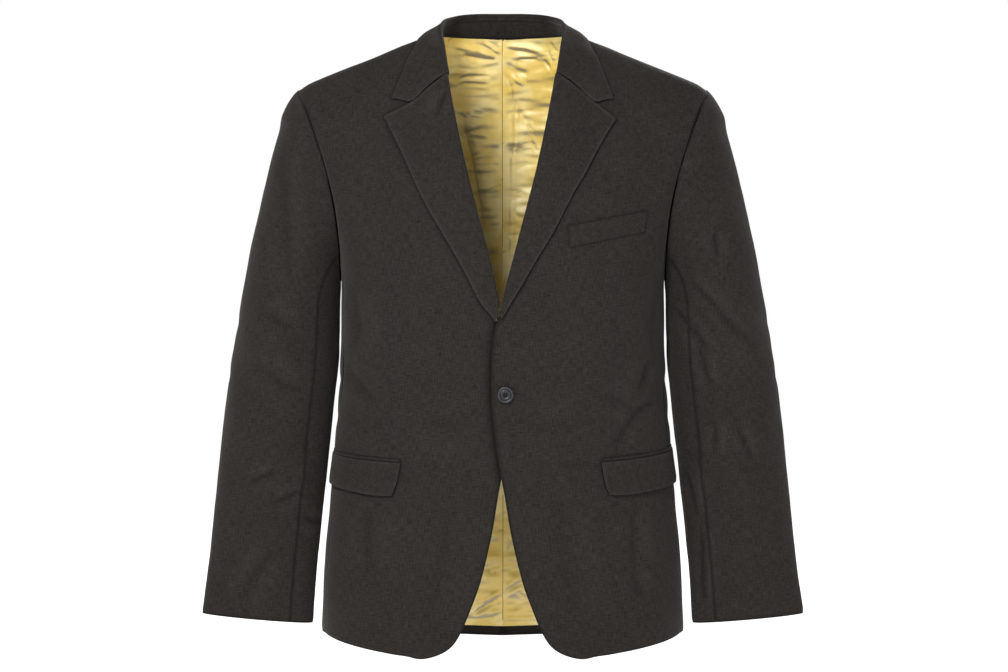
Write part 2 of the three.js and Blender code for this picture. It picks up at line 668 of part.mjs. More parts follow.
// Section of the folded edge: toFall is on the fall's side of the fold, down is along the cloth from the
// crest.
const foldSection = [
  { toFall: -2.9, down: 8, innerToFall: -0.7, innerDown: 8 },
  { toFall: -2.9, down: 4.4, innerToFall: -0.7, innerDown: 4.6 },
  { toFall: -2, down: 1, innerToFall: -0.5, innerDown: 3 },
  { toFall: 0, down: 0, innerToFall: 0, innerDown: 2.3 },
  { toFall: 2, down: 1, innerToFall: 0.5, innerDown: 3 },
  { toFall: 2.9, down: 3.6, innerToFall: 0.7, innerDown: 4 },
];
const notchShare = 0.64;
const notchDip = 15;
const collarFall = { atFold: 3.4, belly: 1.5 };
const stand = { down: 8.4, inside: 2.9, startAngle: 150, lift: 0.45 };
const collarStart = 6; // the section where the stand begins to show as a piece of its own

function collarFrame(station) {
  const columns = ['foldX', 'foldY', 'foldZ', 'upright', 'lie'];
  const [x, y, z, upright, lie] = readRow(collarSections, station, ...columns);
  const nearRow = Math.floor(Math.min(station, collarSections.length - 1.001));
  const t = station - nearRow;
  const here = collarSections[nearRow];
  const next = collarSections[nearRow + 1];
  const edgeOf = (row) => bodyPoint(row.angle, row.rise, layerGap + lapelWall + 0.7 * row.upright);
  const edge = edgeOf(here).lerp(edgeOf(next), t);
  const fold = new THREE.Vector3(x, y, z);
  const fallWay = edge.clone().sub(fold).normalize();
  const normalHere = bodyNormal(here.angle, here.rise);
  const normal = normalHere.lerp(bodyNormal(next.angle, next.rise), t).normalize();
  const outward = new THREE.Vector3(x, Math.max(y - 20, 0) * 0.9 + 1, 0).normalize();
  const standing = new THREE.Vector3(outward.x * 0.3, outward.y * 0.1, -1).normalize();
  const legWay = fallWay.clone().lerp(standing, upright).normalize();
  const ahead = readRow(collarSections, station + 0.2, 'foldX', 'foldY', 'foldZ');
  const behind = readRow(collarSections, station - 0.2, 'foldX', 'foldY', 'foldZ');
  const along = new THREE.Vector3(...ahead).sub(new THREE.Vector3(...behind)).normalize();
  const side = legWay.clone().cross(along).normalize();
  if (side.dot(normal) < 0) side.negate();
  return { fold, edge, fallWay, legWay, side, normal, upright, lie };
}

function collarRow(station, hand) {
  const frame = collarFrame(station);
  const reach = mix(0.46, 1, frame.upright);
  const put = (toFall, down) => frame.fold.clone()
    .addScaledVector(frame.side, toFall - (1 - frame.upright) * 0.2)
    .addScaledVector(frame.legWay, down * (toFall < -0.6 ? reach : 1));
  const outer = foldSection.map((point) => put(point.toFall, point.down));
  const inner = foldSection.map((point) => put(point.innerToFall, point.innerDown));
  const fallStart = outer[outer.length - 1];
  const bulge = mix(5, 1.4, frame.upright) + 9 * frame.upright * (1 - frame.upright);
  const middle = fallStart.clone().lerp(frame.edge, 0.5).addScaledVector(frame.normal, bulge * 2);
  for (const share of [0.2, 0.42, notchShare, 0.83, 1]) {
    const a = fallStart.clone().lerp(middle, share);
    const b = middle.clone().lerp(frame.edge, share);
    const hung = a.lerp(b, share);
    let under = hung.clone().addScaledVector(frame.normal, -lapelWall);
    if (frame.lie > 0) {
      const peak = share < notchShare ? share / notchShare : (1 - share) / (1 - notchShare);
      const dip = notchDip * peak * Math.max(1 - station, 0);
      const along = fallStart.clone().lerp(frame.edge, share);
      const place = seenFromFront(along.x, along.z - dip);
      const swell = collarFall.belly * Math.sin(Math.PI * share);
      const off = mix(collarFall.atFold, layerGap + lapelWall, share) + swell;
      hung.lerp(bodyPoint(place.angle, place.rise, off), frame.lie);
      under.lerp(bodyPoint(place.angle, place.rise, off - lapelWall), frame.lie);
    }
    outer.push(hung);
    inner.push(under);
  }
  const turn = (point) => new THREE.Vector3(point.x * hand, point.y, point.z);
  return { outer: outer.map(turn), inner: inner.map(turn) };
}

function collarPiece() {
  const last = collarSections.length - 1;
  const rows = [];
  for (let i = 0; i <= 2 * last; i += 1) {
    const station = i <= last ? i : 2 * last - i;
    rows.push(collarRow(station, i <= last ? 1 : -1));
  }
  return faceOut(closedWall(rows.map((row) => row.outer), rows.map((row) => row.inner)));
}

function standPiece() {
  const last = collarSections.length - 1;
  const outer = [];
  const inner = [];
  for (let i = collarStart; i <= 2 * last - collarStart; i += 1) {
    const hand = i <= last ? 1 : -1;
    const frame = collarFrame(i <= last ? i : 2 * last - i);
    const top = frame.fold.clone().addScaledVector(frame.legWay, stand.down);
    top.addScaledVector(frame.side, -stand.inside);
    const share = (Math.min(i, 2 * last - i) - collarStart) / (last - collarStart);
    const seam = plainBody(mix(stand.startAngle, 180, share), 1);
    seam.z += stand.lift;
    const rows = [0, 0.5, 1].map((share) => seam.clone().lerp(top, share));
    outer.push(rows.map((point) => new THREE.Vector3(point.x * hand, point.y, point.z)));
    inner.push(rows.map((point) => {
      const back = point.clone().addScaledVector(frame.side, 2);
      return new THREE.Vector3(back.x * hand, back.y, back.z);
    }));
  }
  return faceOut(closedWall(outer, inner));
}

// Hip pockets: a flap that wraps round the side, and the jet above it. Angles are on the body, from the
// front.
const flaps = {
  left: {
    frontAngle: 29.6, lean: 1.3, rearAngle: 93, frontTop: -509.5, rearTop: -495.5, height: 41, rearHeight: 37.3,
  },
  right: {
    frontAngle: 31, lean: 1.6, rearAngle: 93, frontTop: -510.5, rearTop: -500.5, height: 41, rearHeight: 33.5,
  },
};
const flapCorner = { swing: 1.2, lift: 3, rearSwing: 1.5, rearLift: 3 };
const flapSwing = 1.4; // how far a flap's lower edge stands out
const jet = { gap: 0.5, height: 4.6, rearAngle: 88, thick: 1, lift: 0.35 };

function flapTop(flap, angle) {
  return mix(flap.frontTop, flap.rearTop, (angle - flap.frontAngle) / (flap.rearAngle - flap.frontAngle));
}

function flapPiece(hand) {
  const flap = hand > 0 ? flaps.left : flaps.right;
  const places = grid(5, 10, (up, across) => {
    const corner = (1 - up) ** 3 * Math.max(1 - across * 7, 0);
    const rearCorner = (1 - up) ** 4 * Math.max(across * 9 - 8, 0);
    const front = flap.frontAngle + flap.lean * (1 - up) + corner * flapCorner.swing;
    const angle = mix(front, flap.rearAngle - rearCorner * flapCorner.rearSwing, across);
    const top = mix(flap.frontTop, flap.rearTop, across);
    const drop = mix(flap.height, flap.rearHeight, across) * (1 - up);
    const level = top - drop + corner * flapCorner.lift + rearCorner * flapCorner.rearLift;
    return { angle: angle * hand, rise: riseAt(angle, level) };
  });
  const swing = (point, place) => {
    const below = flapTop(flap, Math.abs(place.angle)) - point.z;
    return layerGap + flapWall + flapSwing * smooth(below, 6, flap.height);
  };
  return panel(places, flapWall, swing);
}

function jetPiece(hand) {
  const flap = hand > 0 ? flaps.left : flaps.right;
  const places = grid(1, 10, (up, across) => {
    const angle = mix(flap.frontAngle, jet.rearAngle, across);
    const level = flapTop(flap, angle) + jet.gap + jet.height * up;
    return { angle: angle * hand, rise: riseAt(angle, level) };
  });
  return panel(places, jet.thick, () => jet.lift + jet.thick);
}

// Chest welt, on the wearer's left: its corners as seen from the front.
const welt = {
  innerLow: { x: 78.7, z: -256.3 }, innerTop: { x: 76.4, z: -230.4 },
  outerLow: { x: 168, z: -236.6 }, outerTop: { x: 172.4, z: -211 },
  thick: 1.6, lift: 0.4,
};

function between(from, to, share) {
  return { x: mix(from.x, to.x, share), z: mix(from.z, to.z, share) };
}

function weltPiece() {
  const places = grid(2, 8, (up, across) => {
    const low = between(welt.innerLow, welt.outerLow, across);
    const top = between(welt.innerTop, welt.outerTop, across);
    return seenFromFront(mix(low.x, top.x, up), mix(low.z, top.z, up));
  });
  return panel(places, welt.thick, () => welt.lift + welt.thick);
}

// Back lining, in two halves inside the backs, with its largest waves and its ease pleat.
const liningFolds = [
  { fromX: -70, fromZ: -4, toX: 60, toZ: -14, reach: 11, depth: 4 },
  { fromX: -60, fromZ: -42, toX: 75, toZ: -34, reach: 11, depth: 3 },
  { fromX: -45, fromZ: -640, toX: 25, toZ: -668, reach: 12, depth: 4 },
  { fromX: 9, fromZ: -60, toX: 10, toZ: -270, reach: 9, depth: 3.5 },
];
const liningRaise = 12;

function liningPiece(hand) {
  const inset = bodyWall + 0.6;
  const away = (point) => -inset - foldDepth(liningFolds, point.x, point.z);
  return panel(backPlaces(hand, 9, 0.12, liningRaise), liningWall, away, seamGap / 2);
}

// Front button: dished face inside a raised rim.
const button = { x: 3.2, level: -429, radius: 10, thick: 3.6, gap: 0.3 };

function buttonPiece() {
  const profile = [
    [0, 0], [6, 0], [8.6, 0.7], [button.radius, 1.8], [button.radius, 2.6], [9.4, 3.4], [8.6, button.thick],
    [8, 3.3], [7.4, 2.7], [3, 2.5], [0, 2.5],
  ].map(([radius, height]) => new THREE.Vector2(radius, height));
  return faceOut(mergeVertices(bare(new THREE.LatheGeometry(profile, 28))));
}

function bare(geometry) {
  geometry.deleteAttribute('normal');
  geometry.deleteAttribute('uv');
  return geometry;
}

const clothLook = { color: 0x34302d, roughness: 0.92, metalness: 0 };
const liningLook = { color: 0xb98a3a, roughness: 0.4, metalness: 0 };
const buttonLook = { color: 0x23242a, roughness: 0.45, metalness: 0 };
const jacket = new THREE.Group();

function add(name, geometry, look) {
  const mesh = new THREE.Mesh(geometry, new THREE.MeshStandardMaterial(look));
  mesh.name = name;
  jacket.add(mesh);
  return mesh;
}

for (const [word, hand] of [['left', 1], ['right', -1]]) {
  add(`front_${word}`, frontPanel(hand), clothLook);
  add(`side_${word}`, sidePanel(hand), clothLook);
  add(`back_${word}`, backPanel(hand), clothLook);
  const { front: frontSeam, back: backSeam, gap, upperColumns, underColumns } = sleeveSeams;
  const upper = sleevePiece(hand, backSeam - 360 + gap, frontSeam - gap, upperColumns);
  const under = sleevePiece(hand, frontSeam + gap, backSeam - gap, underColumns);
  add(`upper_sleeve_${word}`, upper, clothLook);
  add(`under_sleeve_${word}`, under, clothLook);
  add(`lapel_${word}`, lapelPiece(hand), clothLook);
  add(`flap_${word}`, flapPiece(hand), clothLook);
  add(`jet_${word}`, jetPiece(hand), clothLook);
  add(`lining_${word}`, liningPiece(hand), liningLook);
}
add('collar', collarPiece(), clothLook);
add('collar_stand', standPiece(), clothLook);
add('chest_welt', weltPiece(), clothLook);

const front = add('front_button', buttonPiece(), buttonLook);
const behindButton = seenFromFront(button.x, button.level);
const buttonLift = overlapLift(1, button.x, button.level);
front.position.copy(bodyPoint(behindButton.angle, behindButton.rise, buttonLift));
front.position.y -= button.gap;
front.rotation.x = Math.PI;

export default jacket;
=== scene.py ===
# A dark wool suit jacket with one button, filled out as worn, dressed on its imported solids.
# Settings are in millimetres and degrees, and become metres where a mesh is made.
import json
import math

import bmesh
import bpy
import numpy as np
from mathutils import Matrix, Vector, noise
from mathutils.bvhtree import BVHTree
from mathutils.kdtree import KDTree

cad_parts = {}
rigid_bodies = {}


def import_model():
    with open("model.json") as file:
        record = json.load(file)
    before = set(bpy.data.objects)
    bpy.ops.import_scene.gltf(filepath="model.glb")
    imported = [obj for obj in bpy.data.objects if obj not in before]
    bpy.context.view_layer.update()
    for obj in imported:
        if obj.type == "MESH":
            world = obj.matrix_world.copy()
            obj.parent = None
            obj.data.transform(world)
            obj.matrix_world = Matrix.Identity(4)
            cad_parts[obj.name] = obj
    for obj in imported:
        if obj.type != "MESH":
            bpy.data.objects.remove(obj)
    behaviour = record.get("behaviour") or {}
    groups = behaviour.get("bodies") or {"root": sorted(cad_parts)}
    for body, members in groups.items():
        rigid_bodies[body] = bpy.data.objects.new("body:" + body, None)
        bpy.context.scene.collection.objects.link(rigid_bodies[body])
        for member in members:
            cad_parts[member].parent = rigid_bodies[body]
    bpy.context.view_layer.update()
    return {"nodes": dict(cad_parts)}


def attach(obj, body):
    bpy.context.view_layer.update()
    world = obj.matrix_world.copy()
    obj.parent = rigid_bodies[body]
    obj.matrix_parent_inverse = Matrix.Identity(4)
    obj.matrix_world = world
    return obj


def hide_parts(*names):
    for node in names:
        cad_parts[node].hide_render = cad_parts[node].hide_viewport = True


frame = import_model()
bpy.ops.object.select_all(action="DESELECT")
mm = 0.001
hands = {"left": 1, "right": -1}  # the wearer's hands, as signs of x

# Camera, floor and light
photoView = {"x": 1.5, "distance": 3500, "height": -360, "lens": 102.5, "sensor": 36}
bpy.ops.object.camera_add(
    location=(photoView["x"] * mm, -photoView["distance"] * mm, photoView["height"] * mm),
    rotation=(math.pi / 2, 0, 0),
)
camera = bpy.context.object
camera.name = "photoCamera"
camera.data.lens = photoView["lens"]
camera.data.sensor_width = photoView["sensor"]
camera.data.clip_end = 60
bpy.context.scene.camera = camera

studio = {
    "floorLevel": -800, "floorSize": 16000, "floorColor": (0.86, 0.86, 0.86), "glow": 0.82,
    "backdrop": 1.0, "ambient": 0.24,
}
lamps = [
    {"name": "keyLamp", "place": (-950, -2500, 1350), "size": 1000, "power": 92, "aim": (0, 0, -350)},
    {"name": "fillLamp", "place": (2500, -2600, 500), "size": 2000, "power": 27, "aim": (0, 0, -400)},
    {"name": "backLamp", "place": (900, 2600, 1500), "size": 1600, "power": 30, "aim": (0, 0, -200)},
]
bpy.ops.mesh.primitive_plane_add(size=studio["floorSize"] * mm, location=(0, 0, studio["floorLevel"] * mm))
floor = bpy.context.object
floor.name = "studioFloor"
for lamp in lamps:
    place = Vector(lamp["place"]) * mm
    aim = (Vector(lamp["aim"]) * mm - place).to_track_quat("-Z", "Y")
    bpy.ops.object.light_add(type="AREA", location=place, rotation=aim.to_euler())
    light = bpy.context.object
    light.name = lamp["name"]
    light.data.shape = "DISK"
    light.data.size = lamp["size"] * mm
    light.data.energy = lamp["power"]
print("camera, floor and lights are in place")


# Small helpers for nodes
def addNode(tree, kind, x, y, **settings):
    node = tree.nodes.new(kind)
    node.location = (x, y)
    for key, value in settings.items():
        setattr(node, key, value)
    return node


def setInputs(node, **values):
    for name, value in values.items():
        node.inputs[name.replace("_", " ")].default_value = value
    return node


def joinNodes(tree, *pairs):
    for fromSocket, toSocket in pairs:
        tree.links.new(fromSocket, toSocket)


def mathNode(tree, operation, x, y, first, second=None, clamp=False):
    node = addNode(tree, "ShaderNodeMath", x, y, operation=operation, use_clamp=clamp)
    for socket, value in zip(node.inputs, (first, second)):
        if isinstance(value, (int, float)):
            socket.default_value = value
        elif value is not None:
            tree.links.new(value, socket)
    return node.outputs[0]


def newGroup(name, inputs, outputs):
    group = bpy.data.node_groups.new(name, "ShaderNodeTree")
    for socketName, kind, value in inputs:
        socket = group.interface.new_socket(name=socketName, in_out="INPUT", socket_type=kind)
        if value is not None:
            socket.default_value = value
    for socketName, kind in outputs:
        group.interface.new_socket(name=socketName, in_out="OUTPUT", socket_type=kind)
    return group, addNode(group, "NodeGroupInput", -1200, 0), addNode(group, "NodeGroupOutput", 900, 0)


def placeGroup(tree, group, x, y, **values):
    return setInputs(addNode(tree, "ShaderNodeGroup", x, y, node_tree=group), **values)


def newMaterial(name):
    material = bpy.data.materials.new(name)
    material.use_nodes = True
    tree = material.node_tree
    tree.nodes.clear()
    shader = addNode(tree, "ShaderNodeBsdfPrincipled", 600, 0)
    output = addNode(tree, "ShaderNodeOutputMaterial", 900, 0)
    joinNodes(tree, (shader.outputs["BSDF"], output.inputs["Surface"]))
    return material, tree, shader


# Shared effect: a plain weave of uneven threads, on flat cloth coordinates in metres
def makeWeaveGroup():
    group, given, result = newGroup(
        "threadWeave",
        [
            ("Vector", "NodeSocketVector", None), ("Thread Width", "NodeSocketFloat", 0.0006),
            ("Slub Width", "NodeSocketFloat", 0.0011), ("Slub Length", "NodeSocketFloat", 0.012),
        ],
        [("Height", "NodeSocketFloat"), ("Slubs", "NodeSocketFloat"), ("Mottle", "NodeSocketFloat")],
    )
    parts = addNode(group, "ShaderNodeSeparateXYZ", -1000, 200)
    joinNodes(group, (given.outputs["Vector"], parts.inputs[0]))
    perThread = mathNode(group, "DIVIDE", -1000, -100, 1.0, given.outputs["Thread Width"])
    waves = []
    for row, axis in enumerate("XY"):
        counted = mathNode(group, "MULTIPLY", -800, 300 - 160 * row, parts.outputs[axis], perThread)
        turned = mathNode(group, "MULTIPLY", -640, 300 - 160 * row, counted, math.pi)
        waves.append(mathNode(group, "ABSOLUTE", -320, 300 - 160 * row,
                              mathNode(group, "SINE", -480, 300 - 160 * row, turned)))
    checks = addNode(group, "ShaderNodeTexChecker", -640, -80)
    joinNodes(group, (given.outputs["Vector"], checks.inputs["Vector"]), (perThread, checks.inputs["Scale"]))
    over = addNode(group, "ShaderNodeMix", -80, 200, data_type="FLOAT")
    joinNodes(group, (checks.outputs["Fac"], over.inputs[0]), (waves[0], over.inputs[2]),
              (waves[1], over.inputs[3]))
    slubs = []
    for row, order in enumerate((("Slub Width", "Slub Length"), ("Slub Length", "Slub Width"))):
        pair = [mathNode(group, "DIVIDE", -800, -260 - 240 * row - 60 * i, 1.0, given.outputs[name])
                for i, name in enumerate(order)]
        size = addNode(group, "ShaderNodeCombineXYZ", -600, -300 - 240 * row)
        joinNodes(group, (pair[0], size.inputs[0]), (pair[1], size.inputs[1]))
        stretched = addNode(group, "ShaderNodeVectorMath", -420, -300 - 240 * row, operation="MULTIPLY")
        joinNodes(group, (given.outputs["Vector"], stretched.inputs[0]),
                  (size.outputs[0], stretched.inputs[1]))
        streaks = addNode(group, "ShaderNodeTexNoise", -240, -300 - 240 * row, noise_dimensions="2D")
        setInputs(streaks, Scale=1.0, Detail=2.0, Roughness=0.6)
        joinNodes(group, (stretched.outputs[0], streaks.inputs["Vector"]))
        slubs.append(streaks.outputs[0])
    both = mathNode(group, "MULTIPLY", 60, -300, mathNode(group, "ADD", -60, -300, slubs[0], slubs[1]), 0.5)
    mottle = setInputs(addNode(group, "ShaderNodeTexNoise", -240, -800, noise_dimensions="2D"),
                       Scale=22.0, Detail=3.0, Roughness=0.55)
    joinNodes(group, (given.outputs["Vector"], mottle.inputs["Vector"]))
    rise = mathNode(group, "MULTIPLY", 200, -100, both, 1.4)
    lifted = mathNode(group, "ADD", 300, 100, over.outputs[0], rise)
    joinNodes(group, (lifted, result.inputs["Height"]), (both, result.inputs["Slubs"]),
              (mottle.outputs[0], result.inputs["Mottle"]))
    return group


weaveGroup = makeWeaveGroup()

# The last two cloth colours are painted light: a highlight for lit edges and fold lips, and shade for seams,
# edges, creases and cloth under another piece's edge.
suiting = {
    "dark": (0.0062, 0.0050, 0.0043, 1), "light": (0.0258, 0.0217, 0.0187, 1),
    "wornEdge": (0.055, 0.049, 0.043, 1), "seam": (0.003, 0.0026, 0.0023, 1), "bump": 0.5,
}


def makeSuiting():
    # edge is 1 where a painted highlight lies, on a lit edge of the cloth and on the lips of folds, and falls
    # to 0 a few millimetres in; the shade attribute is 1 where painted shade lies, in seams, along edges, in
    # fold troughs and under another piece's edge
    material, tree, shader = newMaterial("charcoalWool")
    flat = addNode(tree, "ShaderNodeUVMap", -1100, 100, uv_map="flat")
    weave = placeGroup(tree, weaveGroup, -860, 100, Thread_Width=0.00062, Slub_Width=0.001, Slub_Length=0.01)
    threads = mathNode(tree, "MULTIPLY", -640, 200, weave.outputs["Slubs"], 0.88)
    clouds = mathNode(tree, "MULTIPLY", -640, 60, weave.outputs["Mottle"], 0.12)
    blend = mathNode(tree, "ADD", -520, 200, threads, clouds)
    spread = setInputs(addNode(tree, "ShaderNodeMapRange", -360, 160), From_Min=0.33, From_Max=0.67)
    cloth = addNode(tree, "ShaderNodeMix", -160, 160, data_type="RGBA")
    cloth.inputs[6].default_value = suiting["dark"]
    cloth.inputs[7].default_value = suiting["light"]
    edge = addNode(tree, "ShaderNodeAttribute", -560, 420, attribute_name="edge")
    # Painted highlight on lit edges and fold lips, in a lighter cloth colour.
    worn = addNode(tree, "ShaderNodeMix", 120, 160, data_type="RGBA")
    worn.inputs[7].default_value = suiting["wornEdge"]
    highlightAmount = mathNode(tree, "MULTIPLY", -160, 420, edge.outputs["Fac"], mathNode(
        tree, "MULTIPLY", -320, 340, weave.outputs["Slubs"], 0.55))
    # Painted shade in seams, along edges, in creases and under other pieces' edges is mixed over the cloth.
    seam = addNode(tree, "ShaderNodeAttribute", 120, 420, attribute_name="seam")
    shaded = addNode(tree, "ShaderNodeMix", 340, 160, data_type="RGBA")
    shaded.inputs[7].default_value = suiting["seam"]
    bump = setInputs(addNode(tree, "ShaderNodeBump", 120, -200), Strength=suiting["bump"], Distance=0.0002)
    rough = setInputs(addNode(tree, "ShaderNodeMapRange", 120, -20), To_Min=0.82, To_Max=0.96)
    joinNodes(
        tree, (flat.outputs[0], weave.inputs["Vector"]), (blend, spread.inputs["Value"]),
        (spread.outputs[0], cloth.inputs[0]), (cloth.outputs[2], worn.inputs[6]), (highlightAmount, worn.inputs[0]),
        (worn.outputs[2], shaded.inputs[6]), (seam.outputs["Fac"], shaded.inputs[0]),
        (shaded.outputs[2], shader.inputs["Base Color"]), (weave.outputs["Height"], bump.inputs["Height"]),
        (bump.outputs[0], shader.inputs["Normal"]), (weave.outputs["Mottle"], rough.inputs["Value"]),
        (rough.outputs[0], shader.inputs["Roughness"]),
    )
    setInputs(shader, Sheen_Weight=0.07, Sheen_Roughness=0.4, Sheen_Tint=(1, 0.93, 0.86, 1),
              Specular_IOR_Level=0.16)
    return material


# The last two colours are painted: shade and sheen where the folds turn the cloth down, and shade in the
# creases.
satin = {
    "gold": (0.80, 0.57, 0.125, 1), "pale": (0.93, 0.75, 0.30, 1), "shadeAndSheenOlive": (0.33, 0.27, 0.15, 1),
    "brown": (0.24, 0.14, 0.03, 1),
}


def makeSatin():
    # tilt is how much the folds turn the cloth up or down, with level cloth at 0.5, and sets painted shade
    # and sheen in olive where the cloth turns down; deep is 1 in a crease, where painted shade in brown goes
    material, tree, shader = newMaterial("goldSatin")
    flat = addNode(tree, "ShaderNodeUVMap", -1100, 0, uv_map="flat")
    weave = placeGroup(tree, weaveGroup, -860, 0, Thread_Width=0.00025, Slub_Width=0.0012, Slub_Length=0.05)
    tilt = addNode(tree, "ShaderNodeAttribute", -860, 320, attribute_name="tilt")
    deep = addNode(tree, "ShaderNodeAttribute", -860, 520, attribute_name="deep")
    cloud = addNode(tree, "ShaderNodeMix", -560, 100, data_type="RGBA")
    cloud.inputs[6].default_value = satin["gold"]
    cloud.inputs[7].default_value = satin["pale"]
    drift = setInputs(addNode(tree, "ShaderNodeMapRange", -700, 20), From_Min=0.38, From_Max=0.62)
    away = setInputs(addNode(tree, "ShaderNodeMapRange", -560, 340, interpolation_type="SMOOTHSTEP"),
                     From_Min=0.46, From_Max=1.0)
    # Painted shade and sheen on cloth that the folds turn down.
    turned = addNode(tree, "ShaderNodeMix", -300, 160, data_type="RGBA")
    turned.inputs[7].default_value = satin["shadeAndSheenOlive"]
    # Painted shade in the lining's creases.
    crease = addNode(tree, "ShaderNodeMix", -40, 160, data_type="RGBA")
    crease.inputs[7].default_value = satin["brown"]
    bump = setInputs(addNode(tree, "ShaderNodeBump", 120, -260), Strength=0.18, Distance=0.0001)
    rough = setInputs(addNode(tree, "ShaderNodeMapRange", 120, -60), To_Min=0.3, To_Max=0.42)
    joinNodes(
        tree, (flat.outputs[0], weave.inputs["Vector"]), (weave.outputs["Mottle"], drift.inputs["Value"]),
        (drift.outputs[0], cloud.inputs[0]), (tilt.outputs["Fac"], away.inputs["Value"]),
        (away.outputs[0], turned.inputs[0]), (cloud.outputs[2], turned.inputs[6]),
        (turned.outputs[2], crease.inputs[6]), (deep.outputs["Fac"], crease.inputs[0]),
        (crease.outputs[2], shader.inputs["Base Color"]), (weave.outputs["Height"], bump.inputs["Height"]),
        (bump.outputs[0], shader.inputs["Normal"]), (weave.outputs["Slubs"], rough.inputs["Value"]),
        (rough.outputs[0], shader.inputs["Roughness"]),
    )
    setInputs(shader, Sheen_Weight=0.25, Sheen_Roughness=0.3, Sheen_Tint=(1, 0.9, 0.62, 1),
              Specular_IOR_Level=0.6)
    return material


def makeThread(name, dark, light):
    material, tree, shader = newMaterial(name)
    place = addNode(tree, "ShaderNodeTexCoord", -700, 0)
    twist = setInputs(addNode(tree, "ShaderNodeTexWave", -500, 0, bands_direction="DIAGONAL"),
                      Scale=900.0, Distortion=1.5, Detail=1.0)
    tone = addNode(tree, "ShaderNodeMix", -200, 100, data_type="RGBA")
    tone.inputs[6].default_value = dark
    tone.inputs[7].default_value = light
    bump = setInputs(addNode(tree, "ShaderNodeBump", -200, -200), Strength=0.4, Distance=0.0001)
    joinNodes(
        tree, (place.outputs["Object"], twist.inputs["Vector"]), (twist.outputs["Fac"], tone.inputs[0]),
        (tone.outputs[2], shader.inputs["Base Color"]), (twist.outputs["Fac"], bump.inputs["Height"]),
        (bump.outputs[0], shader.inputs["Normal"]),
    )
    setInputs(shader, Roughness=0.75, Sheen_Weight=0.04, Specular_IOR_Level=0.2)
    return material


wool = makeSuiting()
liningSatin = makeSatin()
seamThread = makeThread("seamThread", (0.006, 0.0055, 0.005, 1), (0.016, 0.015, 0.014, 1))
holeThread = makeThread("holeThread", (0.005, 0.0045, 0.004, 1), (0.017, 0.0155, 0.014, 1))
liningThread = makeThread("liningThread", (0.10, 0.06, 0.015, 1), (0.22, 0.15, 0.05, 1))
print("wool, satin and thread are mixed")


# Cloth from the solids
# The trough and lip settings give painted shade in fold troughs and painted highlight on fold lips; two of
# the reaches set how far painted highlight and painted shade run in from the cloth's edges.
clothWork = {
    "merge": 0.03, "rimSharpness": 66, "centreReach": 2.6,
    "foldGain": 1.7, "troughShade": 0.8, "lipHighlight": 1.3, "tintWidth": 5,
    "edgeHighlightReach": 2.2, "shadedReach": 1.2, "easeReach": 25, "smoothAngle": 50,
}


def selectOnly(piece):
    bpy.ops.object.select_all(action="DESELECT")
    bpy.context.view_layer.objects.active = piece
    piece.select_set(True)


def editMesh(piece):
    selectOnly(piece)
    bpy.ops.object.mode_set(mode="EDIT")
    bpy.ops.mesh.select_mode(type="FACE")
    return bmesh.from_edit_mesh(piece.data)


def applyModifiers(piece):
    selectOnly(piece)
    for modifier in list(piece.modifiers):
        bpy.ops.object.modifier_apply(modifier=modifier.name)


def readPoints(piece):
    points = np.empty(len(piece.data.vertices) * 3)
    piece.data.vertices.foreach_get("co", points)
    return points.reshape(-1, 3)


def readNormals(piece):
    normals = np.empty(len(piece.data.vertices) * 3)
    piece.data.vertex_normals.foreach_get("vector", normals)
    return normals.reshape(-1, 3)


def writePoints(piece, points):
    piece.data.vertices.foreach_set("co", points.reshape(-1))
    piece.data.update()


def storeValues(piece, name, values):
    attribute = piece.data.attributes.get(name) or piece.data.attributes.new(name, "FLOAT", "POINT")
    attribute.data.foreach_set("value", np.clip(values, 0, 1).astype(np.float32))


def outerSide(node, name, heart, inside=False):
    # The outer side of a solid's wall alone. heart gives a point inside the garment, level with one on it.
    # A wall's rim meets its sides more sharply than any two faces of one side meet.
    piece = bpy.data.objects.new(name, frame["nodes"][node].data.copy())
    bpy.context.scene.collection.objects.link(piece)
    piece.data.materials.clear()
    piece.data.name = name
    editMesh(piece)
    bpy.ops.mesh.select_all(action="SELECT")
    bpy.ops.mesh.remove_doubles(threshold=clothWork["merge"] * mm)
    bpy.ops.mesh.tris_convert_to_quads(face_threshold=math.radians(55), shape_threshold=math.radians(60))
    mesh = bmesh.from_edit_mesh(piece.data)

    def outwardness(face):
        centre = face.calc_center_median()
        way = centre - heart(centre)
        way.z = 0
        return face.normal.dot(way.normalized()) * face.calc_area() * (-1 if inside else 1)

    bpy.ops.mesh.select_all(action="DESELECT")
    seed = max(mesh.faces, key=outwardness)
    seed.select_set(True)
    mesh.faces.active = seed
    bmesh.update_edit_mesh(piece.data)
    bpy.ops.mesh.faces_select_linked_flat(sharpness=math.radians(clothWork["rimSharpness"]))
    bpy.ops.mesh.select_all(action="INVERT")
    bpy.ops.mesh.delete(type="FACE")
    bpy.ops.object.mode_set(mode="OBJECT")
    return piece


def smallestRectangle(flat):
    # Width and length of the smallest rectangle that the flat cloth can be cut from.
    sizes = []
    for turn in np.radians(np.arange(-45, 45, 0.5)):
        turned = flat @ np.array([[math.cos(turn), -math.sin(turn)], [math.sin(turn), math.cos(turn)]])
        sizes.append(np.ptp(turned, axis=0))
    return [float(x) for x in min(sizes, key=lambda size: size[0] * size[1])]


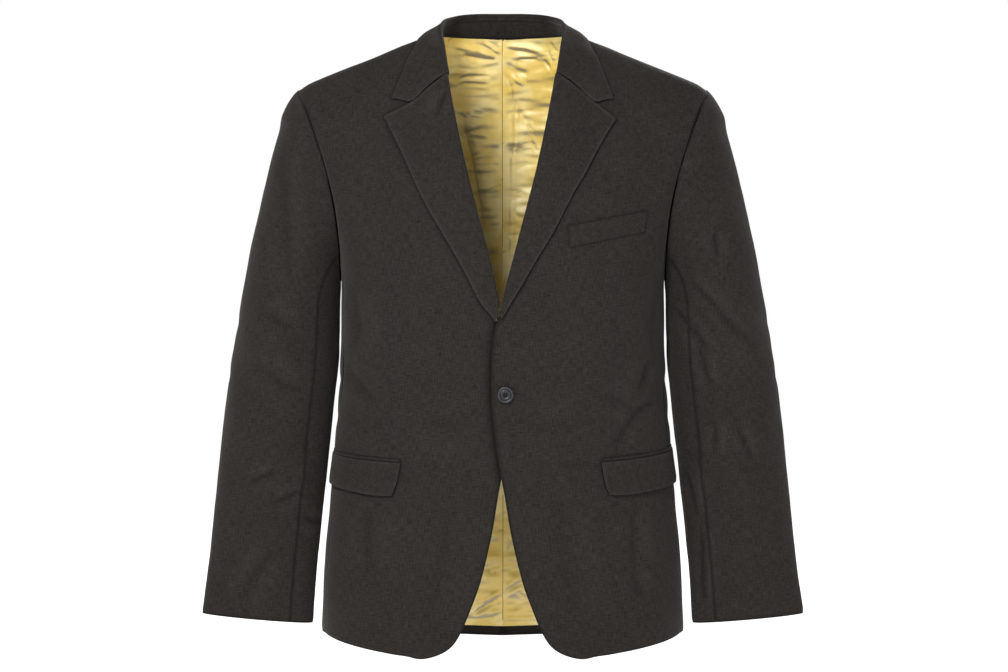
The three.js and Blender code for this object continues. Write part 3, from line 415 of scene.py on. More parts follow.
def layFlat(piece):
    # Opens the cloth out flat, in metres, with its length up, and returns the cut's size and area.
    editMesh(piece)
    bpy.ops.mesh.select_all(action="SELECT")
    for layer in list(piece.data.uv_layers):
        piece.data.uv_layers.remove(layer)
    piece.data.uv_layers.new(name="flat")
    bpy.ops.uv.unwrap(method="ANGLE_BASED", correct_aspect=False, margin=0)
    bpy.ops.object.mode_set(mode="OBJECT")
    mesh = piece.data
    corners = np.empty(len(mesh.loops) * 2)
    mesh.uv_layers["flat"].data.foreach_get("uv", corners)
    corners = corners.reshape(-1, 2)
    heights = readPoints(piece)[[loop.vertex_index for loop in mesh.loops], 2]
    flatArea = 0
    area = 0
    for face in mesh.polygons:
        ring = corners[list(face.loop_indices)]
        nextRing = np.roll(ring, -1, axis=0)
        flatArea += abs(np.sum(ring[:, 0] * nextRing[:, 1] - nextRing[:, 0] * ring[:, 1])) / 2
        area += face.area
    corners = (corners - corners.mean(axis=0)) * math.sqrt(area / flatArea)
    up = corners.T @ (heights - heights.mean())
    up = up / np.linalg.norm(up)
    turned = np.stack([corners @ np.array([up[1], -up[0]]), corners @ up], axis=1)
    mesh.uv_layers["flat"].data.foreach_set("uv", turned.reshape(-1))
    return smallestRectangle(turned), float(area)


def smoothThrough(piece, levels, rounds=8):
    # Subdivides the cloth so that it still passes through the solid's own points.
    wanted = readPoints(piece)
    count = len(wanted)
    smoother = piece.modifiers.new("smoothCloth", "SUBSURF")
    smoother.levels = smoother.render_levels = 1
    smoother.boundary_smooth = "PRESERVE_CORNERS"
    for _ in range(rounds):
        shown = piece.evaluated_get(bpy.context.evaluated_depsgraph_get())
        reached = readPoints(shown)[:count]
        writePoints(piece, readPoints(piece) + wanted - reached)
        bpy.context.view_layer.update()
    smoother.levels = smoother.render_levels = levels
    applyModifiers(piece)


def distanceToPath(flat, path):
    # Plain and signed distance from each flat point to a path, and how far along it is, from 0 to 1.
    corners = np.array(path, float)
    lengths = np.linalg.norm(np.diff(corners, axis=0), axis=1)
    starts = np.concatenate([[0], np.cumsum(lengths)])
    best = np.full(len(flat), 1e9)
    signed = np.zeros(len(flat))
    along = np.zeros(len(flat))
    for i, length in enumerate(lengths):
        way = (corners[i + 1] - corners[i]) / length
        offset = flat - corners[i]
        reach = np.clip(offset @ way, 0, length)
        off = offset - reach[:, None] * way
        distance = np.linalg.norm(off, axis=1)
        side = np.sign(way[0] * offset[:, 1] - way[1] * offset[:, 0])
        nearer = distance < best
        best = np.where(nearer, distance, best)
        signed = np.where(nearer, distance * side, signed)
        along = np.where(nearer, (starts[i] + reach) / starts[-1], along)
    return best, signed, along


def crease(path, width, depth, **more):
    return {"path": path, "width": width, "depth": depth, **more}


views = {  # the side that a fold is seen from, and the two axes that it is drawn on
    "front": {"toward": (0, -1, 0), "axes": (0, 2)},
    "back": {"toward": (0, 1, 0), "axes": (0, 2)},
    "leftSide": {"toward": (1, 0, 0), "axes": (1, 2)},
    "rightSide": {"toward": (-1, 0, 0), "axes": (1, 2)},
}


def foldDepths(piece, folds, tint=0):
    # How deep each point goes for all folds, in metres, and how much painted shade it gets in a sharp crease
    # and painted highlight on a lip.
    points = readPoints(piece) / mm
    normals = readNormals(piece)
    depths = np.zeros(len(points))
    creases = np.zeros(len(points))
    lips = np.zeros(len(points))
    for fold in folds:
        view = views[fold.get("view", "front")]
        toward = np.array(view["toward"]) * (-1 if fold.get("inside") else 1)
        facing = np.clip(normals @ toward * 2.2, 0, 1)
        width = fold["width"] * fold.get("narrow", 1)
        distance, signed, along = distanceToPath(points[:, view["axes"]], fold["path"])
        taper = np.clip(np.minimum(along, 1 - along) * fold.get("ends", 4), 0, 1) ** 0.7
        blunt = np.exp(-((signed / width) ** 2))
        past = np.exp(-((distance ** 2 - signed ** 2).clip(0) / width ** 2))
        height = fold.get("lip", 0.35)
        lip = height * np.exp(-((signed - 2 * width) / (1.2 * width)) ** 2)
        lip += 0.5 * height * np.exp(-((signed + 2 * width) / (1.3 * width)) ** 2)
        depths += clothWork["foldGain"] * fold["depth"] * taper * (blunt - lip) * past * facing
        # Painted shade in the trough and painted highlight on the lips, weaker on broad folds.
        narrowness = min(1, clothWork["tintWidth"] / fold["width"])
        dark = 0.75 * fold.get("dark", tint * narrowness ** 1.5)
        creases = np.maximum(creases, dark * taper * blunt ** 5 * past * facing)
        lips = np.maximum(lips, narrowness * taper * lip * past * facing)
    return depths * mm, creases, lips


def unevenness(points, size, seed):
    shift = Vector((seed, seed * 1.7, -seed))
    return np.array([noise.noise(Vector(point) / (size * mm) + shift) for point in points])


def edgeDistance(piece):
    # Distance from each point to the nearest open edge of the cloth, in metres.
    mesh = piece.data
    uses = {}
    for face in mesh.polygons:
        for key in face.edge_keys:
            uses[key] = uses.get(key, 0) + 1
    rim = sorted({i for key, count in uses.items() if count == 1 for i in key})
    tree = KDTree(len(rim))
    for i in rim:
        tree.insert(mesh.vertices[i].co, i)
    tree.balance()
    return np.array([tree.find(v.co)[2] for v in mesh.vertices])


def spreadRims(piece, amount, more=None):
    # Moves the open edges out in the cloth's own plane, so that neighbours meet along their seams.
    # Halves that meet on the centre line are brought up to it.
    mesh = editMesh(piece)
    ways = {}
    for edge in mesh.edges:
        if edge.is_boundary:
            ends = [vert.co for vert in edge.verts]
            along = (ends[1] - ends[0]).normalized()
            way = (ends[0] + ends[1]) / 2 - edge.link_faces[0].calc_center_median()
            way = (way - along * way.dot(along)).normalized()
            for vert in edge.verts:
                ways[vert] = ways.get(vert, Vector()) + way
    for vert, way in ways.items():
        reach = more["amount"] * mm if more and more["where"](vert.co / mm) else amount
        vert.co += way.normalized() * reach
        if vert.co.y > 0 and abs(vert.co.x) < clothWork["centreReach"] * mm:
            vert.co.x = 0
    bmesh.update_edit_mesh(piece.data)
    bpy.ops.object.mode_set(mode="OBJECT")


def shadeUnder(piece, upper, reach, strength):
    # Darkens a cloth in the fold of shadow where the edge of another one lies on it.
    tree = KDTree(len(upper.data.vertices))
    for i, height in enumerate(readPoints(upper)):
        tree.insert(height, i)
    tree.balance()
    near = np.array([tree.find(vert.co)[2] for vert in piece.data.vertices])
    before = np.empty(len(near), np.float32)
    piece.data.attributes["seam"].data.foreach_get("value", before)
    storeValues(piece, "seam", np.maximum(before, strength * np.exp(-((near / (reach * mm)) ** 2))))


def ripples(points, waves):
    # Shallow waves that run across the cloth: long in x, short in z.
    total = np.zeros(len(points))
    for wave in waves:
        size = Vector((1 / wave["long"], 1, 1 / wave["short"])) / mm
        shift = Vector((wave["seed"], 0, -wave["seed"]))
        total += wave["height"] * mm * np.array([
            noise.noise(Vector((p[0] * size.x, wave["seed"], p[2] * size.z)) + shift) for p in points])
    return total


def finishCloth(piece, sheet, material, slot, node):
    # Presses folds, softens the edges, stores painted shade, highlight and sheen, gives the wall its
    # thickness and hands the piece over.
    points = readPoints(piece)
    normals = readNormals(piece)
    fromEdge = edgeDistance(piece)
    tint = 0 if slot == "lining" else clothWork["troughShade"]
    depths, creases, lips = foldDepths(piece, sheet.get("folds", []), tint)
    hold = 1 - np.exp(-((fromEdge / (sheet.get("hold", 4) * mm)) ** 2))
    size = sheet.get("unevenSize", 46)
    uneven = unevenness(points, size, 3.1) + 0.3 * unevenness(points, size / 2.6, 9.4)
    uneven *= sheet.get("uneven", 0.5) * mm
    sink = sheet.get("sink", 0.5) * mm * np.exp(-((fromEdge / (sheet.get("sinkReach", 3.2) * mm)) ** 2))
    inward = depths * hold + uneven * hold + sink
    if "waves" in sheet:
        inward += ripples(points, sheet["waves"]) * hold
    writePoints(piece, points - normals * inward[:, None])
    slope = readNormals(piece)[:, 2] - normals[:, 2]
    if "ease" in sheet:
        inward += sheet["ease"] * mm * (1 - np.exp(-((fromEdge / (clothWork["easeReach"] * mm)) ** 2)))
        inward = np.clip(inward, sheet["most"][0] * mm, sheet["most"][1] * mm)
        writePoints(piece, points - normals * inward[:, None])
    if slot == "lining":
        # Painted shade and sheen by how the folds turn the cloth, and painted shade in the creases.
        storeValues(piece, "tilt", 0.5 + slope * sheet.get("tiltGain", 1.2))
        storeValues(piece, "deep", creases)
    else:
        # Painted highlight along the edges of some pieces and on the lips of folds.
        edgeLight = np.exp(-((fromEdge / (clothWork["edgeHighlightReach"] * mm)) ** 2)) * sheet.get("worn", 0)
        storeValues(piece, "edge", np.maximum(edgeLight, lips * clothWork["lipHighlight"]))
        # Painted shade along every open edge, and in the creases.
        shaded = np.exp(-((fromEdge / (clothWork["shadedReach"] * mm)) ** 2)) * sheet.get("shaded", 0.75)
        storeValues(piece, "seam", np.maximum(shaded, creases))
    spreadRims(piece, sheet.get("spread", 0.25) * mm, sheet.get("spreadMore"))
    wall = piece.modifiers.new("wall", "SOLIDIFY")
    wall.thickness = sheet["wall"] * mm
    wall.offset = -1
    applyModifiers(piece)
    selectOnly(piece)
    bpy.ops.object.shade_smooth_by_angle(angle=math.radians(clothWork["smoothAngle"]))
    piece.data.materials.append(material)
    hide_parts(node)
    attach(piece, "root")


def dress(node, name, sheet, heart, material, slot, inside=False):
    piece = outerSide(node, name, heart, inside)
    flat, area = layFlat(piece)
    smoothThrough(piece, sheet["levels"])
    if "shape" in sheet:
        sheet["shape"](piece)
    finishCloth(piece, sheet, material, slot, node)
    return piece


def bodyHeart(point):
    return Vector((point.x * 0.4, 0, point.z))


armAxis = {"topLevel": -100, "topX": 226, "cuffLevel": -700, "cuffX": 297, "y": -12}


def armHeart(hand):
    def heart(point):
        share = (point.z - armAxis["topLevel"] * mm) / ((armAxis["cuffLevel"] - armAxis["topLevel"]) * mm)
        across = armAxis["topX"] + (armAxis["cuffX"] - armAxis["topX"]) * share
        return Vector((hand * across * mm, armAxis["y"] * mm, point.z))
    return heart


shoulderTip = {
    "bodyX": 251, "bodyRise": -3.4, "sleeveX": 257, "sleeveRise": 2.6, "liningX": 250, "liningRise": -5,
    "reach": 10, "fromLevel": -100, "blend": 14,
}


def easeShoulder(cloth):
    # Lifts or lowers the cloth where the shoulder seam meets the sleeve's head.
    def shape(piece):
        points = readPoints(piece) / mm
        near = np.exp(-(((np.abs(points[:, 0]) - shoulderTip[f"{cloth}X"]) / shoulderTip["reach"]) ** 2))
        high = np.clip((points[:, 2] - shoulderTip["fromLevel"]) / shoulderTip["blend"], 0, 1)
        points[:, 2] += shoulderTip[f"{cloth}Rise"] * near * high
        writePoints(piece, points * mm)
    return shape


# Fronts
frontFolds = {
    "left": [
        crease([(130, -491), (160, -452), (185, -435)], 6, 2.2),
        crease([(162, -430), (176, -386)], 7, 1.6),
        crease([(156, -560), (155, -600), (156, -640)], 8, 1.6),
        crease([(152, -636), (162, -668)], 7, 1.2),
        crease([(118, -430), (142, -440), (168, -462)], 9, 1.0),
        crease([(185, -300), (178, -350), (183, -400)], 9, 1.4),
        crease([(60, -560), (75, -640), (84, -700)], 16, 0.8),
        crease([(20, -455), (52, -470), (92, -462)], 12, 0.7),
    ],
    "right": [
        crease([(-150, -440), (-170, -420), (-188, -396)], 8, 1.4),
        crease([(-158, -560), (-160, -640)], 10, 1.2),
        crease([(-80, -101), (-67, -69)], 5, 1.2),
        crease([(-60, -560), (-78, -650), (-84, -705)], 16, 0.8),
        crease([(-30, -450), (-60, -468), (-100, -458)], 12, 0.7),
        crease([(-180, -300), (-172, -350), (-180, -390)], 9, 1.2),
    ],
}
for word, hand in hands.items():
    dress(f"front_{word}", f"front_{word}_cloth", {
        "levels": 3, "wall": 1.7, "folds": frontFolds[word], "uneven": 0.5, "sink": 0.7,
        "shape": easeShoulder("body"),
    }, bodyHeart, wool, "suiting")
    dress(f"side_{word}", f"side_{word}_cloth", {
        "levels": 3, "wall": 1.7, "uneven": 0.6, "sink": 0.7,
        "folds": [
            crease([(-40, -400), (0, -418), (50, -408)], 8, 0.7, view=f"{word}Side"),
            crease([(-50, -450), (5, -462), (48, -446)], 9, 0.6, view=f"{word}Side"),
            crease([(0, -520), (8, -640)], 12, 0.7, view=f"{word}Side"),
        ],
    }, bodyHeart, wool, "suiting")
    dress(f"back_{word}", f"back_{word}_cloth", {
        "levels": 3, "wall": 1.7, "uneven": 0.8, "sink": 0.6, "shape": easeShoulder("body"),
        "folds": [
            crease([(hand * 20, -398), (hand * 80, -412), (hand * 150, -396)], 10, 1.8, view="back"),
            crease([(hand * 10, -440), (hand * 70, -446), (hand * 130, -430)], 9, 1.2, view="back"),
            crease([(hand * 172, -150), (hand * 160, -240), (hand * 168, -330)], 11, 1.8, view="back"),
            crease([(hand * 70, -470), (hand * 84, -600), (hand * 88, -700)], 18, 1.4, view="back"),
            crease([(hand * 20, -26), (hand * 60, -30), (hand * 92, -22)], 8, 1.2, view="back"),
        ],
    }, bodyHeart, wool, "suiting")
print("fronts, sides and backs are cut")

# Sleeves
sleeveFolds = {
    "left": [
        crease([(221, -292), (252, -322), (286, -360)], 4.5, 2.2),
        crease([(203, -322), (226, -350), (250, -384)], 4.5, 2.0),
        crease([(233, -366), (248, -421)], 4.5, 1.7),
        crease([(254, -462), (254, -502)], 4.5, 1.5),
        crease([(281, -470), (298, -506)], 4.5, 1.6),
        crease([(221, -520), (233, -575)], 5, 1.6),
        crease([(239, -590), (240, -684)], 5, 1.4),
        crease([(254, -232), (256, -266)], 5, 1.5),
        crease([(203, -150), (216, -166)], 5, 1.6),
        crease([(262, -330), (300, -372), (312, -400)], 9, 1.2),
    ],
    "right": [
        crease([(-268, -116), (-262, -210), (-254, -300)], 9, 1.1),
        crease([(-304, -536), (-272, -523)], 5, 1.4),
        crease([(-272, -560), (-242, -546)], 5, 1.4),
        crease([(-316, -678), (-294, -642), (-272, -612)], 7, 1.4),
        crease([(-238, -578), (-218, -589)], 5, 1.5),
        crease([(-300, -392), (-262, -420), (-236, -424)], 9, 1.0),
        crease([(-290, -330), (-250, -352)], 8, 0.9),
    ],
}
sleeveBackFolds = [
    crease([(318, -380), (290, -372), (262, -384)], 8, 0.9),
    crease([(322, -428), (292, -416), (258, -430)], 7, 0.8),
    crease([(300, -340), (276, -330), (250, -338)], 7, 0.7),
    crease([(250, -120), (262, -190), (266, -250)], 10, 1.4),
    crease([(330, -560), (300, -600), (290, -660)], 9, 0.6),
]
sleeveSideFolds = [
    crease([(-40, -330), (-10, -345), (30, -335)], 8, 0.4),
    crease([(-48, -400), (-8, -410), (26, -398)], 8, 0.4),
]
for word, hand in hands.items():
    behind = [dict(fold, view="back", path=[(hand * x, z) for x, z in fold["path"]])
              for fold in sleeveBackFolds]
    outside = [dict(fold, view=f"{word}Side") for fold in sleeveSideFolds]
    for part in ("upper", "under"):
        dress(f"{part}_sleeve_{word}", f"{part}_sleeve_{word}_cloth", {
            "levels": 3, "wall": 1.7, "uneven": 0.7, "sink": 0.6,
            "folds": sleeveFolds[word] + behind + outside, "shape": easeShoulder("sleeve"),
        }, armHeart(hand), wool, "suiting")
print("sleeves are set in")

# Lapels, collar and stand
def lapelHeart(point):
    # Well behind the lapel, as its outer side faces the front.
    return point + Vector((0, 1, 0))


neckMiddle = 20


def neckHeart(point):
    return Vector((0, neckMiddle * mm, point.z))


# The lapel's edge at the notch seam is brought further out, up to the collar
gorge = {"amount": 1.3, "where": lambda point: point.z > -101 and abs(point.x) > 54}
lapelFold = crease([(-80, -101), (-67, -69)], 5, 1.0)
fallSettle = {"x": 105, "reach": 10, "drop": 2.3, "fromLevel": -42, "blend": 25}


def settleCollar(piece):
    # Lays the fall's edge down on the shoulder, where it turns round from the back to the front.
    points = readPoints(piece) / mm
    side = np.abs(points[:, 0])
    onTop = np.clip((points[:, 2] - fallSettle["fromLevel"]) / fallSettle["blend"], 0, 1)
    near = np.exp(-(((side - fallSettle["x"]) / fallSettle["reach"]) ** 2))
    points[:, 2] -= fallSettle["drop"] * onTop * near
    writePoints(piece, points * mm)


# The lapels and collar get a painted highlight along their edges and no painted shade there.
for word in hands:
    dress(f"lapel_{word}", f"lapel_{word}_cloth", {
        "levels": 3, "wall": 1.7, "uneven": 0.35, "unevenSize": 60, "sink": 0.35, "sinkReach": 2.5, "hold": 3,
        "worn": 0.8, "shaded": 0, "spreadMore": gorge, "folds": [lapelFold] if word == "right" else [],
    }, lapelHeart, wool, "suiting")
dress("collar", "collar_cloth", {
    "cut": [460, 62], "shape": settleCollar, "levels": 3, "wall": 1.7, "uneven": 0.3, "sink": 0.35,
    "sinkReach": 2.5, "hold": 3, "worn": 0.7, "shaded": 0,
}, neckHeart, wool, "suiting")
dress("collar_stand", "collar_stand_cloth", {
    "cut": [330, 36], "levels": 3, "wall": 1.5, "uneven": 0.3, "sink": 0.2, "hold": 3,
}, neckHeart, wool, "suiting", inside=True)

# Pockets
# The flaps get a painted highlight along their edges and no painted shade there.
for word in hands:
    dress(f"flap_{word}", f"flap_{word}_cloth", {
        "levels": 3, "wall": 1.7, "uneven": 0.5, "unevenSize": 40, "sink": 0.45, "sinkReach": 2.5, "hold": 3,
        "worn": 0.4, "shaded": 0,
    }, bodyHeart, wool, "suiting")
    dress(f"jet_{word}", f"jet_{word}_cloth", {
        "cut": [149, 11], "levels": 3, "wall": 0.9, "uneven": 0, "sink": 0.3, "sinkReach": 1.6, "hold": 1,
    }, bodyHeart, wool, "suiting")
dress("chest_welt", "chest_welt_cloth", {
    "levels": 3, "wall": 1.4, "uneven": 0.25, "sink": 0.7, "sinkReach": 2.2, "hold": 2, "shaded": 0.6,
}, bodyHeart, wool, "suiting")
print("lapels, collar and pockets are on")

# Lining: folds stand towards the inside, with the creases between them
# dark sets how much painted shade each crease gets.
liningFolds = [
    crease([(-23, 7), (-3, -6)], 3.5, -2.4),
    crease([(-60, 1), (-30, -2), (-4, -14)], 6, -2.2),
    crease([(3, 4), (30, 2), (53, -6)], 6, -3.0),
    crease([(19, -12), (44, -13)], 2.6, 1.6, dark=0.5),
    crease([(0, -18), (16, -26), (33, -32)], 5, 2.0, dark=0.3),
    crease([(10, -32), (28, -45)], 4, -2.0),
    crease([(-49, -8), (-26, -13), (-9, -14)], 3.5, 1.8, dark=0.3),
    crease([(-57, -38), (-45, -34), (-15, -33)], 3, 1.8, dark=0.5),
    crease([(-57, -45), (-48, -42), (-15, -44)], 3, 1.6, dark=0.6),
    crease([(-71, 5), (-59, 14)], 2.5, 1.6, dark=0.7),
    crease([(61, 6), (70, -6)], 2.6, 1.8, dark=0.8),
    crease([(58, -4), (64, -18)], 2.6, 1.6, dark=0.6),
    crease([(53, -15), (63, -28)], 2.6, 1.8, dark=0.8),
    crease([(1, -32), (7, -36), (12, -48), (15, -71), (14, -89), (15, -115), (10, -139), (10, -179),
            (8, -231), (11, -267)], 2.4, 2.0, dark=0.75, lip=0.6, ends=12),
    crease([(-59, -81), (-33, -79), (-20, -83)], 2.2, 1.5, dark=0.7),
    crease([(-58, -84), (-45, -84), (-18, -88)], 2.4, 1.5, dark=0.7),
    crease([(-53, -108), (-45, -104), (-27, -99)], 2.4, 1.6, dark=0.8),
    crease([(-54, -110), (-38, -109), (-28, -111), (-16, -114)], 2.4, 1.5, dark=0.7),
    crease([(-41, -134), (-28, -129)], 3, 1.5, dark=0.5),
    crease([(-8, -115), (2, -118), (12, -120), (28, -124)], 2.2, 1.2, dark=0.45),
    crease([(-17, -144), (8, -143)], 2.2, 1.0, dark=0.5),
    crease([(-8, -165), (7, -160)], 2.2, 1.0, dark=0.5),
    crease([(-19, -176), (-4, -170), (5, -176)], 2.2, 1.1, dark=0.5),
    crease([(10, -178), (22, -178), (31, -183)], 2.4, 1.3, dark=0.6),
    crease([(30, -93), (42, -104)], 2.4, 1.6, dark=0.7),
    crease([(31, -99), (41, -108)], 2.2, 1.2, dark=0.5),
    crease([(36, -114), (45, -128)], 2.6, 1.6, dark=0.7),
    crease([(18, -77), (32, -90)], 5, 1.6, dark=0.3),
    crease([(-49, -84), (-47, -100), (-38, -134), (-33, -163), (-27, -195),
            (-23, -221)], 7, 2.0, dark=0.75, ends=6),
    crease([(-6, -252), (6, -255)], 2, 1.4, dark=0.9),
    crease([(12, -200), (22, -211)], 2.6, 1.4, dark=0.5),
    crease([(-7, -564), (1, -563)], 3, 1.4, dark=0.6),
    crease([(-7, -587), (4, -582)], 2.4, 1.2, dark=0.6),
    crease([(-9, -604), (6, -607)], 3, 1.4, dark=0.6),
    crease([(2, -625), (14, -631)], 2.4, 1.2, dark=0.6),
    crease([(-22, -648), (-15, -660), (-2, -656), (15, -654)], 2.6, 1.6, dark=0.6),
    crease([(-39, -713), (-21, -700), (0, -685), (23, -670)], 4, 2.4, dark=0.5, ends=8, lip=0.8),
    crease([(17, -681), (29, -689)], 3, 1.4, dark=0.6),
    crease([(-16, -717), (1, -707)], 3, 1.4, dark=0.5),
]
hiddenLiningFolds = [
    crease([(40, -320), (80, -330), (130, -318)], 6, 1.8, dark=0.4),
    crease([(30, -400), (90, -392), (150, -404)], 7, 1.8, dark=0.4),
    crease([(50, -470), (100, -480), (140, -468)], 6, 1.6, dark=0.4),
    crease([(30, -560), (80, -552), (130, -570)], 6, 1.6, dark=0.4),
    crease([(60, -640), (110, -628), (150, -640)], 6, 1.6, dark=0.4),
    crease([(90, -90), (110, -200), (104, -300)], 9, 1.8, dark=0.4),
]
liningPress = {"height": 0.62, "narrow": 0.62, "shift": 6}
for word, hand in hands.items():
    hidden = [dict(fold, path=[(hand * x, z - liningPress["shift"] * hand) for x, z in fold["path"]])
              for fold in hiddenLiningFolds]
    pressed = [
        dict(fold, inside=True, depth=-liningPress["height"] * fold["depth"], narrow=liningPress["narrow"])
        for fold in liningFolds + hidden
    ]
    dress(f"lining_{word}", f"lining_{word}_cloth", {
        "levels": 4, "wall": 0.6, "uneven": 0.8, "unevenSize": 60, "sink": 0, "hold": 5, "most": (0.1, 7.5),
        "ease": 3.2, "tiltGain": 1.3, "shape": easeShoulder("lining"),
        "waves": [
            {"long": 62, "short": 17, "height": 2.7, "seed": 4.3},
            {"long": 30, "short": 8, "height": 1.3, "seed": 8.9},
            {"long": 13, "short": 36, "height": 0.4, "seed": 2.2},
            {"long": 26, "short": 4.5, "height": 0.6, "seed": 6.1},
        ],
        "folds": pressed,
    }, bodyHeart, liningSatin, "lining")
print("lining is in")

# Sewn details that lie on the cloth
shownCloth = bpy.data.objects
sewing = {"holeThread": 0.32, "slit": 0.3, "lining": 0.32, "dart": 0.4, "dartLift": 0.08}


def onCloth(piece, path, lift, step=3):
    # Points along a path seen from the front, on the first cloth that a line straight back meets.
    tree = BVHTree.FromObject(piece, bpy.context.evaluated_depsgraph_get())
    corners = [Vector(corner) for corner in path]
    points = []
    for start, end in zip(corners, corners[1:]):
        count = max(1, round((end - start).length / step))
        for i in range(count + (end == corners[-1])):
            place = start.lerp(end, i / count) * mm
            hit, normal = tree.ray_cast(Vector((place.x, -1, place.y)), Vector((0, 1, 0)))[:2]
            if hit:
                points.append(hit + normal * lift * mm)
    return points


def threadThrough(name, points, radius, material, node, closed=False):
    # A round thread through the points, turned into a mesh.
    bpy.ops.object.select_all(action="DESELECT")
    bpy.ops.curve.primitive_bezier_curve_add()
    thread = bpy.context.object
    thread.name = name
    line = thread.data
    line.splines.clear()
    spline = line.splines.new("POLY")
    spline.points.add(len(points) - 1)
    for target, point in zip(spline.points, points):
        target.co = (*point, 1)
    spline.use_cyclic_u = closed
    line.bevel_depth = radius * mm
    line.bevel_resolution = 2
    line.use_fill_caps = True
    bpy.ops.object.convert(target="MESH")
    thread = bpy.context.object
    bpy.ops.object.shade_smooth()
    thread.data.materials.clear()
    thread.data.materials.append(material)
    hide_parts(node)
    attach(thread, "root")
    return thread


def buttonhole(name, piece, start, end, node, width=1.5):
    # A worked hole: a slit with a thick thread all round it.
    start, end = Vector(start), Vector(end)
    along = (end - start).normalized()
    across = Vector((-along.y, along.x)) * width / 2
    rounded = 0.45 * width * along
    corner = across * 0.6
    ring = [start + across, end + across, end + corner + rounded, end - corner + rounded, end - across,
            start - across, start - corner - rounded, start + corner - rounded, start + across]
    loop = onCloth(piece, [tuple(point) for point in ring], 0.1, step=1)
    threadThrough(name, loop[:-1], sewing["holeThread"], holeThread, node, closed=True)
    slit = onCloth(piece, [tuple(start), tuple(end)], 0.05, step=1)
    threadThrough(f"{name}_slit", slit, sewing["slit"], seamThread, node)


liningSeams = {
    "upper": [(-0.6, 11), (-0.8, -20), (-0.4, -120), (-0.3, -250)],
    "lower": [(0.2, -560), (0, -722)],
}


def insideLining(path, step=3):
    # Points along the lining's centre seam as seen through the open front.
    trees = [BVHTree.FromObject(shownCloth[f"lining_{word}_cloth"], bpy.context.evaluated_depsgraph_get())
             for word in hands]
    corners = [Vector(corner) for corner in path]
    points = []
    for start, end in zip(corners, corners[1:]):
        count = max(1, round((end - start).length / step))
        for i in range(count):
            place = start.lerp(end, i / count) * mm
            hits = [tree.ray_cast(Vector((side * mm, 0.02, place.y)), Vector((0, 1, 0)))[0]
                    for tree, side in zip(trees, (1.2, -1.2))]
            if all(hits):
                points.append(Vector((place.x, (hits[0].y + hits[1].y) / 2 - 0.0001, place.y)))
    return points


for part, path in liningSeams.items():
    threadThrough(f"lining_seam_{part}", insideLining(path), sewing["lining"], liningThread, "lining_left")
# Painted shadow on the cloth under the edges of lapels, collar and flaps, and under the overlapping left
# front.
for word in hands:
    for under, upper, reach, strength in (
        (f"front_{word}", f"lapel_{word}", 3.4, 0.85), (f"front_{word}", "collar", 3.2, 0.8),
        (f"lapel_{word}", "collar", 2.4, 0.6), (f"front_{word}", f"flap_{word}", 2.8, 0.8),
        (f"side_{word}", f"flap_{word}", 2.8, 0.8), (f"back_{word}", "collar", 3.2, 0.8),
    ):
        shadeUnder(shownCloth[f"{under}_cloth"], shownCloth[f"{upper}_cloth"], reach, strength)
shadeUnder(shownCloth["front_right_cloth"], shownCloth["front_left_cloth"], 6, 0.9)
darts = {
    "left": [(135, -285), (134.5, -341), (132, -359), (129, -435), (127.5, -491)],
    "right": [(-138, -276), (-135, -390), (-132, -502)],
}
for word in hands:
    dart = onCloth(shownCloth[f"front_{word}_cloth"], darts[word], sewing["dartLift"])
    threadThrough(f"dart_{word}", dart, sewing["dart"], seamThread, f"front_{word}")
buttonhole("lapel_buttonhole", shownCloth["lapel_left_cloth"], (86, -113), (101.5, -124), "lapel_left")
buttonhole("front_buttonhole", shownCloth["front_left_cloth"], (3, -429.5), (26, -428.2), "front_left", 1.3)
print("darts and buttonholes are sewn")

# Front button
buttonShape = {
    "profile": [(0.5, 2.5), (4.1, 2.5), (4.5, 2.75), (5.2, 2.8), (5.6, 2.5), (6.5, 2.45), (7.0, 3.0),
                (7.9, 3.5), (8.9, 3.5), (9.6, 3.1), (10, 2.4), (9.9, 1.8), (8.6, 0.8), (6, 0.2), (0.5, 0.2)],
    "steps": 72, "holeCircle": 1.75, "holeRadius": 0.8, "threadRadius": 0.42,
}


def makeButtonMaterial():
    # ring holds the distance from the middle, 1 at the rim
    material, tree, shader = newMaterial("darkHornButton")
    ring = addNode(tree, "ShaderNodeAttribute", -900, 100, attribute_name="ring")
    bands = addNode(tree, "ShaderNodeValToRGB", -660, 100)
    # The lighter bands lie on the raised rings of the profile: painted highlights.
    stops = [
        (0.0, (0.005, 0.005, 0.006, 1)), (0.40, (0.005, 0.005, 0.006, 1)), (0.47, (0.034, 0.037, 0.046, 1)),
        (0.54, (0.007, 0.007, 0.0085, 1)), (0.70, (0.006, 0.006, 0.007, 1)),
        (0.80, (0.042, 0.046, 0.056, 1)), (0.90, (0.009, 0.009, 0.011, 1)),
    ]
    elements = bands.color_ramp.elements
    elements[0].position, elements[0].color = stops[0]
    elements[1].position, elements[1].color = stops[-1]
    for position, color in stops[1:-1]:
        elements.new(position).color = color
    place = addNode(tree, "ShaderNodeTexCoord", -900, -200)
    grain = setInputs(addNode(tree, "ShaderNodeTexNoise", -660, -200), Scale=420.0, Detail=3.0)
    grey = addNode(tree, "ShaderNodeMix", -300, 60, data_type="RGBA", blend_type="MULTIPLY")
    grey.inputs[0].default_value = 0.5
    rough = setInputs(addNode(tree, "ShaderNodeMapRange", -300, -200), To_Min=0.28, To_Max=0.46)
    joinNodes(
        tree, (ring.outputs["Fac"], bands.inputs["Fac"]), (bands.outputs["Color"], grey.inputs[6]),
        (place.outputs["Object"], grain.inputs["Vector"]), (grain.outputs["Color"], grey.inputs[7]),
        (grey.outputs[2], shader.inputs["Base Color"]), (grain.outputs["Fac"], rough.inputs["Value"]),
        (rough.outputs[0], shader.inputs["Roughness"]),
    )
    setInputs(shader, Specular_IOR_Level=0.35)
    return material


